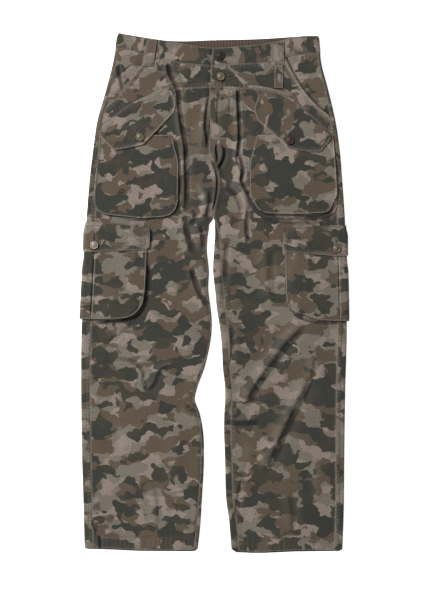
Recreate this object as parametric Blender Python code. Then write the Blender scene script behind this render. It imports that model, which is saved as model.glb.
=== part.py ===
"""Cargo pants laid flat on their back, with the front up.

X runs across the garment, and the wearer's right leg is at -X. Y runs up from the hems to the
waist. Z is the height above the surface that the pants lie on. Sizes are in millimetres, and
each mesh is scaled to metres as it is made.

Each piece is cut as a flat pattern, triangulated, and then laid in place: round the folded side
of a leg, on the back panel's level or on the front panel's level. What lies on a panel follows
the same levels, moved out.
"""

import math
from collections import namedtuple

import bmesh
import bpy
import numpy as np
from mathutils import Vector
from mathutils.geometry import delaunay_2d_cdt

MM = 0.001

# Cloth
CLOTH = 1.5            # one layer of twill with its pressed seam allowances
POCKET_CLOTH = 1.3     # the thinner turned cloth of the patch pockets
FLAP_CLOTH = 1.9       # a flap is two layers
BAND_CLOTH = 2.2       # the waistband is two layers and a stiffener
LOOP_CLOTH = 1.2       # a belt loop is a narrow folded strip
SEAM_GAP = 0.3         # between two pieces that are sewn edge to edge
LAYER_GAP = 0.6        # between a piece and what it lies on

# The folded tube of cloth
HIP_STACK = 6.4        # front surface above back surface, over the hips
LEG_STACK = 4.9        # the same on the legs
HIP_SIDE = 6.8         # height of the rounded side fold at the hips
LEG_SIDE = 6.2         # the same on the legs
CROTCH_FOLD = 1.7      # smallest fold radius, where the two inseams meet
LEAST_STACK = 3.35     # front and back layers lying on each other
SIDE_SPREAD = 16.0     # how far in from a side its extra height dies away
CROTCH_Y = 145.0
FOLD_STEPS = 4         # facets round a side fold

# Closures
FLY_STEP = 2.1         # how far the right front lies under the left one at the fly
FLY_UNDERLAP = 14.0
BAND_UNDERLAP = 24.0
BAND_STEP = 2.8
BAND_PROUD = 1.0       # the waistband stands above the panels that it holds
FLY_END_Y = 300.0

# How fine the pattern pieces are cut into triangles
PANEL_SPREAD = 28.0
BACK_SPREAD = 46.0
PATCH_SPREAD = 22.0
EDGE_STEP = 28.0
PATCH_STEP = 16.0
SEAM_STEP = 12.0
FOLD_STEP = 15.0
LEAST_ROOM = 4.5       # two lines' points are no nearer than this

Side = namedtuple("Side", "name sign")
RIGHT = Side("right", -1)
LEFT = Side("left", 1)
SIDES = (RIGHT, LEFT)


# Tables: the garment's outline and seams

Outline = namedtuple("Outline", "y right left")
OUTER_EDGE = (
    Outline(519, -193, 207),
    Outline(489, -198, 211),
    Outline(465, -202, 213),
    Outline(405, -217, 228),
    Outline(345, -234, 242),
    Outline(285, -243, 251),
    Outline(225, -250, 256),
    Outline(145, -256, 261),
    Outline(85, -258, 262),
    Outline(5, -262, 264),
    Outline(-75, -266, 265),
    Outline(-195, -267, 262),
    Outline(-335, -265, 260),
    Outline(-435, -262, 259),
    Outline(-519, -260, 256),
)
INNER_EDGE = (
    Outline(CROTCH_Y, -2.2, -1.8),
    Outline(125, -11, 1),
    Outline(85, -15, -1),
    Outline(45, -11, -3),
    Outline(5, -12, 1),
    Outline(-35, -7, 5),
    Outline(-65, -5, 10),
    Outline(-115, -11, 15),
    Outline(-155, -21, 17),
    Outline(-190, -34, 21),
    Outline(-214, -39, 21),
    Outline(-240, -30, 19.5),
    Outline(-275, -23, 19),
    Outline(-335, -21, 21),
    Outline(-415, -25, 23.5),
    Outline(-465, -28, 30),
    Outline(-519, -34, 34),
)
# How far the back panel comes round onto the front, at the side seam and at the inseam
SIDE_SEAM = (
    Outline(519, 2, 2),
    Outline(405, 4, 3),
    Outline(345, 6, 6),
    Outline(285, 9, 8),
    Outline(225, 12, 10),
    Outline(100, 14, 13),
    Outline(-519, 14, 13),
)
INSEAM = (
    Outline(CROTCH_Y, 0.5, 1),
    Outline(95, 1, 9),
    Outline(-150, 1, 11),
    Outline(-300, 3, 11),
    Outline(-519, 6, 12),
)

Knot = namedtuple("Knot", "x y")
WAIST_SEAM = (
    Knot(-199, 489), Knot(-159, 481), Knot(-129, 471), Knot(-89, 462), Knot(-49, 456), Knot(-7, 453),
    Knot(35, 455), Knot(71, 457), Knot(121, 462), Knot(150, 472), Knot(175, 475), Knot(213, 478),
)
FRONT_WAIST_TOP = (
    Knot(-193, 518.5), Knot(-159, 513), Knot(-129, 508), Knot(-89, 502), Knot(-59, 496), Knot(-29, 491),
    Knot(-3, 489), Knot(51, 492), Knot(91, 496), Knot(121, 501), Knot(139, 505), Knot(171, 512),
    Knot(205, 513),
)
BACK_WAIST_TOP = (
    Knot(-193, 518), Knot(-140, 509), Knot(-75, 503), Knot(0, 505), Knot(85, 507), Knot(130, 509.5),
    Knot(175, 512.5), Knot(207, 513),
)
BACK_WAIST_SEAM = (
    Knot(-199, 487), Knot(-150, 474), Knot(-75, 467), Knot(0, 466), Knot(75, 468), Knot(150, 473),
    Knot(211, 478),
)
YOKE_SEAM = {
    "right": (
        Knot(-9, 412), Knot(-39, 410), Knot(-69, 410), Knot(-92, 413), Knot(-130, 396),
        Knot(-169, 376), Knot(-197, 356), Knot(-231, 330)),
    "left": (
        Knot(-9, 412), Knot(35, 411), Knot(71, 408), Knot(95, 405), Knot(144, 391), Knot(171, 372),
        Knot(201, 347), Knot(238, 314)),
}
SLANT = {
    "right": (
        Knot(-140, 478), Knot(-148, 450), Knot(-160, 433), Knot(-181, 404), Knot(-200, 384),
        Knot(-226, 360)),
    "left": (
        Knot(140, 474), Knot(146, 461), Knot(164, 428), Knot(191, 389), Knot(207, 373),
        Knot(236, 349)),
}
FLY_EDGE = (
    Knot(-3, 490), Knot(-3, 476), Knot(-7, 460), Knot(-6, 444), Knot(-9, 415), Knot(-10, 366),
    Knot(-9, 330), Knot(-10, 306),
)
RISE_SEAM = (
    Knot(-10, 306), Knot(-9, 288), Knot(-5, 262), Knot(1, 243), Knot(5.5, 228), Knot(5.5, 213),
    Knot(2.5, 188), Knot(-0.5, 168), Knot(-2, CROTCH_Y + 3.5),
)
HEM = {
    "right": (Knot(-262, -511), Knot(-225, -511.5), Knot(-150, -515), Knot(-30, -515)),
    "left": (
        Knot(30, -505), Knot(37, -511), Knot(43, -518), Knot(75, -519), Knot(100, -519),
        Knot(165, -516), Knot(258, -515)),
}

# The largest folds of the front. depth is the valley, ridges stand on its two sides (the -X side
# is first, for a fold that runs down the garment), and reach is half the valley's width.
Fold = namedtuple("Fold", "name reach depth ridge_a ridge_b path")
FOLDS = (
    Fold("hip_right", 6, 1.3, 1.0, 3.0, (
        (-92, 452), (-88, 430), (-75, 405), (-71, 377), (-67, 344), (-62, 310), (-57, 253),
        (-57, 200), (-59, 163))),
    Fold("thigh_right", 7, 1.2, 1.4, 2.2, ((-62, 152), (-51, 118), (-36, 72))),
    Fold("fly_right", 5, 1.3, 2.4, 1.0, ((-11, 403), (-17, 370), (-20, 346), (-17, 292))),
    Fold("hip_left", 6, 1.3, 3.0, 2.6, (
        (45, 410), (48, 375), (50, 330), (49, 300), (46, 276), (53, 250), (51, 229), (61, 207),
        (78, 170))),
    Fold("thigh_left", 7, 1.2, 2.2, 1.6, ((78, 166), (68, 140), (63, 100))),
    Fold("crotch_ridge_right", 11, -2.6, 0, 0, ((-39, 214), (-22, 192), (-18, 170), (-23, 128))),
    Fold("crotch_ridge_left", 11, -2.6, 0, 0, ((26, 222), (46, 209), (58, 192), (63, 150))),
    Fold("inner_right", 7, 1.2, 1.4, 1.8, ((-43, 45), (-31, -1), (-12, -36))),
    Fold("side_knee_right", 8, 1.0, 1.2, 1.6, ((-89, -148), (-107, -166), (-132, -204))),
    Fold("front_knee_right", 8, 1.0, 1.4, 1.2, ((-188, -131), (-160, -146), (-134, -172))),
    Fold("under_pocket_right", 8, 1.0, 1.0, 1.2, ((-160, -70), (-183, -82), (-210, -98))),
    Fold("knee_left", 9, 1.3, 2.2, 2.6, (
        (184, -72), (144, -108), (109, -157), (77, -210), (58, -236))),
    Fold("shin_left", 9, 1.2, 2.0, 2.4, ((190, -180), (150, -257), (122, -316), (88, -382))),
    Fold("inner_left", 7, 1.0, 2.0, 0.6, ((94, -256), (54, -262), (26, -254))),
    Fold("inseam_left", 7, 1.2, 0.6, 1.4, ((40, 108), (33, 40), (30, -34))),
    Fold("middle_left", 8, 1.0, 1.2, 1.6, ((113, 92), (112, 20), (122, -22))),
)

# The patch pockets and flaps of the hips: corners and how far each is rounded
Corner = namedtuple("Corner", "x y radius")
HIP_FLAP = {
    "right": (
        Corner(-90, 412, 4), Corner(-76, 380, 22), Corner(-81, 360, 10), Corner(-142, 295, 16),
        Corner(-201, 283, 18), Corner(-230, 312, 18), Corner(-231, 329, 3), Corner(-197, 355, 40),
        Corner(-130, 395, 60)),
    "left": (
        Corner(91, 405, 4), Corner(79, 365, 24), Corner(86, 345, 16), Corner(146, 289, 16),
        Corner(184, 281, 20), Corner(212, 281, 8), Corner(238, 313, 4), Corner(201, 346, 40),
        Corner(171, 371, 60), Corner(144, 390, 30)),
}
HIP_POCKET = {
    "right": (
        Corner(-85, 316, 8), Corner(-71, 262, 60), Corner(-72, 151, 58), Corner(-150, 147, 90),
        Corner(-243, 157, 34), Corner(-240, 222, 90), Corner(-232, 285, 60), Corner(-231, 316, 4)),
    "left": (
        Corner(84, 316, 8), Corner(70, 262, 60), Corner(69, 149, 62), Corner(160, 146, 90),
        Corner(246, 150, 36), Corner(246, 215, 60), Corner(240, 300, 60), Corner(237, 316, 4)),
}
HIP_POCKET_HEIGHT = 4.4
HIP_POCKET_MOUTH = 3.0   # lower under the flap
FACING_STEP = 2.0        # the facing lies under the yoke's edge
FACING_UNDER = 9.0
GUSSET_WIDTH = 9.0       # the bellows side of a patch pocket
SEAT = 0.5               # a sewn border above the panel

# The cargo pockets straddle the side seams: half on the front, half folded round to the back
Cargo = namedtuple(
    "Cargo", "middle half_width mouth_y bottom_y corner flap_half flap_top flap_end_top "
             "flap_bottom flap_end_bottom")
CARGO = {
    "right": Cargo(17, 107, 118, -54, 56, 111, 142, 129, 80.5, 86),
    "left": Cargo(16, 106, 112, -58, 56, 108, 135, 128, 72, 81),
}
CARGO_HEIGHT = 5.2
CARGO_MOUTH = 3.0
CARGO_BACK = 2.4         # the half that the garment lies on is pressed flatter
FLAP_SEAT = SEAT + FLAP_CLOTH
FLAP_OVER = CARGO_MOUTH + LAYER_GAP + FLAP_CLOTH
FLAP_BACK = CARGO_BACK + LAYER_GAP + FLAP_CLOTH
LIFT_RAMP = 28.0
WAIST_LIFT = 1.9         # the back belt loops hold the waistband off the surface
PLEAT_DEPTH = 1.4
PLEAT_REACH = 4.0

Strip = namedtuple("Strip", "top_x top_y bottom_x bottom_y width")
FRONT_LOOPS = {
    "right": Strip(-124.5, 506, -132, 453, 20),
    "left": Strip(128.5, 501, 128.5, 453, 20),
}
YOKE_TAB = Strip(128.3, 452.4, 128.3, 409, 18)
BACK_LOOPS = {
    "right": Strip(-108, 503, -108, 456, 20),
    "middle": Strip(0, 502, 0, 455, 20),
    "left": Strip(108, 505, 108, 457, 20),
}
LOOP_ARCH = 1.2

BUTTON_RADIUS = 8.1
BUTTON_RISE = 3.4
BUTTON_SIDES = 20
BUTTONS = {
    "button_waist": Knot(11.2, 473.0),
    "button_yoke": Knot(12.4, 431.6),
    "button_hip_right": Knot(-149.2, 310.2),
    "button_hip_left": Knot(150.4, 303.4),
    "button_cargo_right": Knot(-240.0, 94.2),
    "button_cargo_left": Knot(243.4, 87.0),
}

Finish = namedtuple("Finish", "red green blue roughness metallic")
FINISHES = {
    "camo_cloth": Finish(0.115, 0.097, 0.076, 0.9, 0.0),
    "bronze_button": Finish(0.085, 0.060, 0.044, 0.42, 0.8),
}


# Curves

def ease(t):
    """Rises smoothly from 0 to 1 as t does."""
    t = np.clip(t, 0.0, 1.0)
    return t * t * (3 - 2 * t)


def through(knots, values):
    """A smooth function through a table's values, level beyond its ends."""
    order = np.argsort(knots)
    knots = np.array(knots, float)[order]
    values = np.array(values, float)[order]
    slopes = np.gradient(values, knots)

    def at(t):
        t = np.clip(np.asarray(t, float), knots[0], knots[-1])
        i = np.clip(np.searchsorted(knots, t, side="right") - 1, 0, len(knots) - 2)
        span = knots[i + 1] - knots[i]
        u = (t - knots[i]) / span
        start = (1 + 2 * u) * (1 - u) ** 2 * values[i] + u * (1 - u) ** 2 * span * slopes[i]
        end = u * u * (3 - 2 * u) * values[i + 1] - u * u * (1 - u) * span * slopes[i + 1]
        return start + end

    return at


def down_table(rows):
    """A function of y for each side of an Outline table."""
    heights = [row.y for row in rows]
    return {side.name: through(heights, [getattr(row, side.name) for row in rows]) for side in SIDES}


def across(knots):
    """y as a function of x along a seam."""
    return through([knot.x for knot in knots], [knot.y for knot in knots])


def drawn(knots, step):
    """Points along a smooth line through its knots, about one step apart."""
    knots = np.array(knots, float)
    run = np.concatenate([[0], np.cumsum(np.hypot(*np.diff(knots, axis=0).T))])
    count = max(2, int(round(run[-1] / step)) + 1)
    at = np.linspace(0, run[-1], count)
    return np.stack([through(run, knots[:, 0])(at), through(run, knots[:, 1])(at)], axis=1)


def rounded(corners, step):
    """A closed outline with an arc at each corner, its points about one step apart."""
    outline = []
    for i, corner in enumerate(corners):
        here = Vector((corner.x, corner.y))
        before = Vector(corners[i - 1][:2]) - here
        after = Vector(corners[(i + 1) % len(corners)][:2]) - here
        half = before.angle(after) / 2
        room = 0.48 * min(before.length, after.length)
        cut = min(corner.radius / math.tan(half), room)
        start = here + before.normalized() * cut
        end = here + after.normalized() * cut
        count = max(2, int(cut * 2 / step) + 1)
        for k in range(count + 1):
            u = k / count
            outline.append((1 - u) ** 2 * start + 2 * u * (1 - u) * here + u * u * end)
    closed = [np.array(point) for point in outline]
    spaced = []
    for start, end in zip(closed, closed[1:] + closed[:1]):
        length = np.hypot(*(end - start))
        if length < step * 0.25:
            continue
        pieces = max(1, int(round(length / step)))
        spaced += [start + (end - start) * k / pieces for k in range(pieces)]
    return np.array(spaced)


def nearest_on(line, x, y):
    """How far each point is from a line, on which side of it, and how far along."""
    start = line[:-1]
    step = np.diff(line, axis=0)
    length = np.maximum(np.hypot(step[:, 0], step[:, 1]), 1e-9)
    run = np.concatenate([[0], np.cumsum(length)])
    dx = np.asarray(x, float)[..., None] - start[:, 0]
    dy = np.asarray(y, float)[..., None] - start[:, 1]
    t = np.clip((dx * step[:, 0] + dy * step[:, 1]) / length ** 2, 0, 1)
    away_x = dx - t * step[:, 0]
    away_y = dy - t * step[:, 1]
    gap = np.hypot(away_x, away_y)
    k = np.argmin(gap, axis=-1)[..., None]
    side = np.sign(step[k[..., 0], 0] * picked(away_y, k) - step[k[..., 0], 1] * picked(away_x, k))
    along = run[k[..., 0]] + picked(t, k) * length[k[..., 0]]
    return picked(gap, k), side, along, run[-1]


def picked(values, k):
    """The value at each point's nearest segment."""
    return np.take_along_axis(values, k, axis=-1)[..., 0]


outer_edge = down_table(OUTER_EDGE)
inner_edge = down_table(INNER_EDGE)
side_seam = down_table(SIDE_SEAM)
inseam = down_table(INSEAM)
fly_edge = through([knot.y for knot in FLY_EDGE], [knot.x for knot in FLY_EDGE])
FOLD_LINES = {fold.name: drawn(fold.path, FOLD_STEP) for fold in FOLDS}


# Levels: the heights of the back and front surfaces

def side_radius(y):
    """Radius of the rounded fold at a leg's outer side."""
    return (LEG_SIDE + (HIP_SIDE - LEG_SIDE) * ease((np.asarray(y) - 150) / 120)) / 2


def inner_radius(y):
    """Radius of the fold at a leg's inner side, smallest at the crotch."""
    return CROTCH_FOLD + (LEG_SIDE / 2 - CROTCH_FOLD) * ease((CROTCH_Y - np.asarray(y)) / 60)


def lift(x, y):
    """How far the back panel is held up, by the loops at the waist and by the cargo pockets."""
    rise = WAIST_LIFT * ease((y - 412) / 34)
    for side in SIDES:
        cargo = CARGO[side.name]
        reach = cargo.half_width - math.pi * LEG_SIDE / 2 + cargo.middle
        inset = side.sign * (outer_edge[side.name](y) - x)
        beside = 1 - ease((inset - 92) / LIFT_RAMP)
        under_pocket = ease((cargo.flap_top + LIFT_RAMP + 4 - y) / LIFT_RAMP)
        under_pocket = under_pocket * ease((y - cargo.bottom_y + LIFT_RAMP + 2) / LIFT_RAMP)
        under_flap = ease((cargo.flap_top + LIFT_RAMP + 4 - y) / LIFT_RAMP)
        under_flap = under_flap * ease((y - cargo.flap_bottom + LIFT_RAMP + 2) / LIFT_RAMP)
        height = CARGO_BACK * under_pocket + (FLAP_BACK - CARGO_BACK) * under_flap
        rise = rise + np.where(inset < reach + 2 * LIFT_RAMP, height * beside, 0)
    return rise


def relief(x, y):
    """Height of the folds of the front."""
    height = np.zeros(np.shape(x))
    for fold in FOLDS:
        gap, side, along, length = nearest_on(FOLD_LINES[fold.name], x, y)
        fade = ease(np.minimum(along, length - along) / (0.22 * length))
        valley = np.clip(1 - (gap / fold.reach) ** 2, 0, 1) ** 2
        crest = np.clip(1 - ((gap - 1.7 * fold.reach) / (1.6 * fold.reach)) ** 2, 0, 1) ** 2
        ridge = np.where(side < 0, fold.ridge_a, fold.ridge_b)
        height = height + fade * (ridge * crest * (1 - valley) - fold.depth * valley)
    return height


def front(x, y):
    """Height of the front's outer surface."""
    x = np.asarray(x, float)
    y = np.asarray(y, float)
    stack = LEG_STACK + (HIP_STACK - LEG_STACK) * ease((y - 60) / 170)
    height = stack + 0
    calm = np.ones(np.shape(x))
    for side in SIDES:
        radius = side_radius(y)
        inset = side.sign * (outer_edge[side.name](y) - x)
        near = np.exp(-(np.maximum(inset - radius, 0) / SIDE_SPREAD) ** 2)
        height = height + (2 * radius - stack) * near
        calm = calm * ease((inset - radius) / 14)
        radius = inner_radius(y)
        inner_x = inner_edge[side.name](y)
        inset = side.sign * (x - inner_x)
        own_leg = inset > -1.0
        below = np.maximum(inset - radius, 0)
        above = np.hypot(x + 2, y - CROTCH_Y)
        gap = np.where(y < CROTCH_Y, below, above)
        near = np.exp(-(gap / SIDE_SPREAD) ** 2)
        own = np.where(y < CROTCH_Y, own_leg, side.sign * (x + 2) >= 0)
        height = height + np.where(own, (2 * radius - stack) * near, 0)
        calm = calm * np.where(own & (y < CROTCH_Y), ease(below / 12), 1)
    height = height + relief(x, y) * calm
    return lift(x, y) + np.maximum(height, LEAST_STACK)


# Laying: from a place on the pattern to a place in space

def across_side(side, x, y):
    """Pattern distance of a front point from the start of the back's flat part."""
    radius = side_radius(y)
    inset = side.sign * (outer_edge[side.name](y) - x)
    return -(math.pi * radius + inset - radius)


def across_back(side, x, y):
    """Pattern distance of a point of the back from the start of the back's flat part."""
    return side.sign * (outer_edge[side.name](y) - x) - side_radius(y)


def laid(side, a, y, height, thickness):
    """Outer and inner points of cloth round a leg, at a height above the leg's own surface.

    a is the distance along the cloth: above 0 it is on the flat back, below 0 it goes round the
    side fold and onto the front. Past the inner side it goes round the inner fold.
    """
    a = np.asarray(a, float)
    y = np.asarray(y, float)
    height = np.broadcast_to(height, a.shape)
    radius = side_radius(y)
    outer_x = outer_edge[side.name](y)
    inner_x = inner_edge[side.name](y)
    small = inner_radius(y)
    flat = np.where(y < CROTCH_Y, np.abs(inner_x - outer_x) - radius - small, 1e6)
    inward = -side.sign

    def place(offset, up):
        x_back = outer_x + inward * (radius + a)
        z_back = np.maximum(lift(x_back, y) - height, 0) + up
        turn = np.clip(-a / radius, 0, math.pi)
        level = lift(outer_x + inward * radius, y)
        x_turn = outer_x + inward * (radius - (radius + offset) * np.sin(turn))
        z_turn = level + radius - (radius + offset) * np.cos(turn)
        z_turn = z_turn + (np.maximum(level - height, 0) + height - level) * (1 + np.cos(turn)) / 2
        x_front = outer_x + inward * (radius - a - math.pi * radius)
        z_front = front(x_front, y) + offset
        bend = np.clip((a - flat) / small, 0, math.pi)
        x_bend = outer_x + inward * (radius + flat + (small + offset) * np.sin(bend))
        level = lift(outer_x + inward * (radius + flat), y)
        z_bend = level + small - (small + offset) * np.cos(bend)
        x_return = outer_x + inward * (radius + flat - (a - flat - math.pi * small))
        z_return = front(x_return, y) + offset
        x = np.select(
            [a < -math.pi * radius, a < 0, a <= flat, a <= flat + math.pi * small],
            [x_front, x_turn, x_back, x_bend], x_return)
        z = np.select(
            [a < -math.pi * radius, a < 0, a <= flat, a <= flat + math.pi * small],
            [z_front, z_turn, z_back, z_bend], z_return)
        return np.stack([x, y, z], axis=-1)

    return place(height, 0), place(height - thickness, thickness)


def plan_x(side, a, y):
    """Where a pattern place of the front lies across the garment."""
    radius = side_radius(y)
    return outer_edge[side.name](y) - side.sign * (radius - a - math.pi * radius)


def on_front(side, plan):
    """Plan points of the front as pattern places."""
    plan = np.array(plan, float)
    return np.stack([across_side(side, plan[:, 0], plan[:, 1]), plan[:, 1]], axis=1)


def on_back(side, plan):
    """Plan points of the back as pattern places."""
    plan = np.array(plan, float)
    return np.stack([across_back(side, plan[:, 0], plan[:, 1]), plan[:, 1]], axis=1)


# Seams, as pattern places that the pieces on both sides share

LEVELS = np.arange(-19, 20) * EDGE_STEP
TURNS = [k / FOLD_STEPS for k in range(FOLD_STEPS + 1)]


def fold_place(side, share, y):
    """A line along the side fold: share 0 is at the back, 1 at the front."""
    return -math.pi * side_radius(y) * share


def inner_place(side, share, y):
    """A line along the inner fold: share 0 is at the back, 1 at the front."""
    small = inner_radius(y)
    flat = np.abs(inner_edge[side.name](y) - outer_edge[side.name](y)) - side_radius(y) - small
    return flat + math.pi * small * share


def seam_place(side, y):
    """The side seam."""
    seam = -(math.pi * side_radius(LEVELS) + side_seam[side.name](LEVELS))
    return np.interp(y, LEVELS, seam)


def front_inseam(side, y):
    """The inseam's place on the front."""
    x = inner_edge[side.name](y) + side.sign * (inner_radius(y) + inseam[side.name](y))
    return across_side(side, x, y)


def back_inseam(side, y):
    """The inseam's place on the back, past the inner fold."""
    return inner_place(side, 1, y) + inseam[side.name](y)


def waist_line(side):
    """The waistband's lower seam, from the fly round the side to the middle of the back."""
    return round_the_side(side, WAIST_SEAM, BACK_WAIST_SEAM)


def round_the_side(side, ahead, behind):
    """A line that runs across the front, round the side fold and across the back."""
    ahead, behind = drawn(ahead, SEAM_STEP), drawn(behind, 2 * SEAM_STEP)
    fold_x = outer_edge[side.name](490) - side.sign * HIP_SIDE / 2
    high, low = [np.interp(fold_x, line[:, 0], line[:, 1]) for line in (ahead, behind)]
    ahead = ahead[ahead[:, 0] * side.sign > -40]
    behind = behind[behind[:, 0] * side.sign > 1]
    ahead, behind = on_front(side, ahead), on_back(side, behind)
    ahead = ahead[ahead[:, 0] < fold_place(side, 1, ahead[:, 1]) - 3]
    behind = behind[behind[:, 0] > 3]
    ahead = ahead[np.argsort(ahead[:, 0])]
    behind = behind[np.argsort(behind[:, 0])]
    turn = [(fold_place(side, share, high), low + (high - low) * share) for share in TURNS[::-1]]
    middle_y = behind[-1, 1]
    middle = [(across_back(side, 0, middle_y), middle_y)]
    return np.vstack([ahead, turn, behind, middle])


def hem_line(side):
    """The hem all round a leg, from the inseam on the front to the inseam on the back."""
    y = -512.0
    flat = np.linspace(front_inseam(side, y), fold_place(side, 1, y), 17)
    back = np.linspace(0, inner_place(side, 0, y), 10)
    turn = [fold_place(side, share, y) for share in TURNS[-2:0:-1]]
    inner = [inner_place(side, share, y) for share in TURNS[1:]]
    a = np.concatenate([flat, turn, back, inner, [back_inseam(side, y)]])
    x = laid(side, a, np.full(len(a), y), 0.0, CLOTH)[0][:, 0]
    knots = HEM[side.name]
    return np.stack([a, np.interp(x, [knot.x for knot in knots], [knot.y for knot in knots])], axis=1)


def between(line, start, end):
    """The part of a seam from one place to another, with the seam's own points in between."""
    line = line[np.argsort(line[:, 0])]
    low, high = min(start, end), max(start, end)
    own = line[(line[:, 0] > low + 0.8) & (line[:, 0] < high - 0.8)]
    first, last = [(place, np.interp(place, line[:, 0], line[:, 1])) for place in (low, high)]
    part = np.vstack([[first], own, [last]])
    return part if start < end else part[::-1]


def down(place, top, bottom):
    """The part of a seam that runs down the garment, with a point at each shared level."""
    own = LEVELS[(LEVELS < top - 3) & (LEVELS > bottom + 3)][::-1]
    y = np.concatenate([[top], own, [bottom]])
    return np.stack([place(y), y], axis=1)


def meeting(place, line, high, low):
    """The y at which a seam that runs down meets a seam that runs across."""
    line = line[np.argsort(line[:, 0])]
    for _ in range(40):
        middle = (high + low) / 2
        if middle > np.interp(place(middle), line[:, 0], line[:, 1]):
            high = middle
        else:
            low = middle
    return (high + low) / 2


# Cutting and making

def inset(outline, distance):
    """The outline drawn in by a distance, with mitred corners."""
    turn = np.roll(outline, -1, axis=0) - outline
    area = np.sum(outline[:, 0] * np.roll(outline[:, 1], -1) - outline[:, 1] * np.roll(outline[:, 0], -1))
    normal = np.stack([-turn[:, 1], turn[:, 0]], axis=1) * np.sign(area)
    normal /= np.maximum(np.hypot(normal[:, 0], normal[:, 1]), 1e-9)[:, None]
    before = np.roll(normal, 1, axis=0)
    middle = normal + before
    scale = np.maximum(np.sum(middle * normal, axis=1), 0.35)
    return outline + middle / scale[:, None] * distance


def inside(outline, points):
    """Which points are inside a closed outline."""
    x, y = points[:, 0][:, None], points[:, 1][:, None]
    start = outline
    end = np.roll(outline, -1, axis=0)
    crosses = (start[:, 1] > y) != (end[:, 1] > y)
    rise = np.where(end[:, 1] == start[:, 1], 1e-9, end[:, 1] - start[:, 1])
    at = start[:, 0] + (y - start[:, 1]) * (end[:, 0] - start[:, 0]) / rise
    return np.sum(crosses & (x < at), axis=1) % 2 == 1


def edge_distance(outline, points):
    """How far each point is from the outline."""
    closed = np.vstack([outline, outline[:1]])
    return nearest_on(closed, points[:, 0], points[:, 1])[0]


def crossed(outline, curves):
    """The outline with a point wherever it crosses one of the curves a(y)."""
    result = []
    for start, end in zip(outline, np.roll(outline, -1, axis=0)):
        result.append(start)
        cuts = []
        for curve in curves:
            first, last = start[0] - curve(start[1]), end[0] - curve(end[1])
            if first * last < 0:
                cuts.append(first / (first - last))
        for cut in sorted(cuts):
            point = start + (end - start) * cut
            if min(np.hypot(*(point - start)), np.hypot(*(point - end))) > 0.9:
                result.append(point)
    return np.array(result)


def thinned(lines, taken):
    """Lines without the points that crowd a point already taken; a gap splits a line."""
    parts = []
    for line in lines:
        room = np.ones(len(line), bool)
        if len(taken):
            gap = np.hypot(line[:, 0, None] - taken[:, 0], line[:, 1, None] - taken[:, 1])
            room = gap.min(axis=1) > LEAST_ROOM
        parts.append(line[room])
        taken = np.vstack([taken, line[room]]) if len(taken) else line[room]
    return parts, taken


def triangulated(outline, tied, loose, spread):
    """Cuts an outline into triangles, with points on the lines and a lattice between.

    The edges of the tied lines are kept; the points of the loose ones only guide the cut.
    """
    points = [tuple(point) for point in outline]
    edges = []
    kept = [np.array(outline)]
    for line in tied:
        good = inside(outline, line) & (edge_distance(outline, line) > 1.0)
        numbers = []
        for point, is_good in zip(line, good):
            numbers.append(len(points) if is_good else None)
            if is_good:
                points.append(tuple(point))
        edges += [(i, j) for i, j in zip(numbers, numbers[1:]) if i is not None and j is not None]
        kept.append(line[good])
    for line in loose:
        if len(line):
            good = line[inside(outline, line) & (edge_distance(outline, line) > 2.5)]
            points += [tuple(point) for point in good]
            kept.append(good)
    low, high = outline.min(axis=0), outline.max(axis=0)
    row_height = spread * math.sqrt(3) / 2
    lattice = []
    for j in range(math.floor(low[1] / row_height), math.ceil(high[1] / row_height) + 1):
        shift = (j % 2) * spread / 2
        for i in range(math.floor(low[0] / spread) - 1, math.ceil(high[0] / spread) + 1):
            lattice.append((i * spread + shift, j * row_height))
    lattice = np.array(lattice)
    lattice = lattice[inside(outline, lattice)]
    taken = np.vstack(kept)
    if len(lattice):
        gap = np.hypot(lattice[:, 0, None] - taken[:, 0], lattice[:, 1, None] - taken[:, 1])
        room = (gap.min(axis=1) > 0.6 * spread) & (edge_distance(outline, lattice) > 0.3 * spread)
        points += [tuple(point) for point in lattice[room]]
    rim = [list(range(len(outline)))]
    cut = delaunay_2d_cdt([Vector(point) for point in points], edges, rim, 1, 1e-5)
    vertices = np.array([tuple(vertex) for vertex in cut[0]])
    faces = np.array([tuple(face) for face in cut[2]])
    used, numbers = np.unique(faces, return_inverse=True)
    return vertices[used], numbers.reshape(-1, 3)


def new_object(name, mesh, finish):
    """Puts a mesh in the scene, its origin in its own middle, hung on the garment's empty."""
    corners = np.array([vertex.co for vertex in mesh.vertices])
    middle = (corners.min(axis=0) + corners.max(axis=0)) / 2
    for vertex in mesh.vertices:
        vertex.co = vertex.co - Vector(middle)
    piece = bpy.data.objects.new(name, mesh)
    piece.location = middle
    piece.parent = garment
    material = bpy.data.materials.new(name)
    material.use_nodes = True
    shader = material.node_tree.nodes["Principled BSDF"]
    look = FINISHES[finish]
    shader.inputs["Base Color"].default_value = (look.red, look.green, look.blue, 1.0)
    shader.inputs["Roughness"].default_value = look.roughness
    shader.inputs["Metallic"].default_value = look.metallic
    mesh.materials.append(material)
    mesh.shade_smooth()
    mesh.set_sharp_from_angle(angle=math.radians(40))
    bpy.context.scene.collection.objects.link(piece)
    return piece


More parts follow.
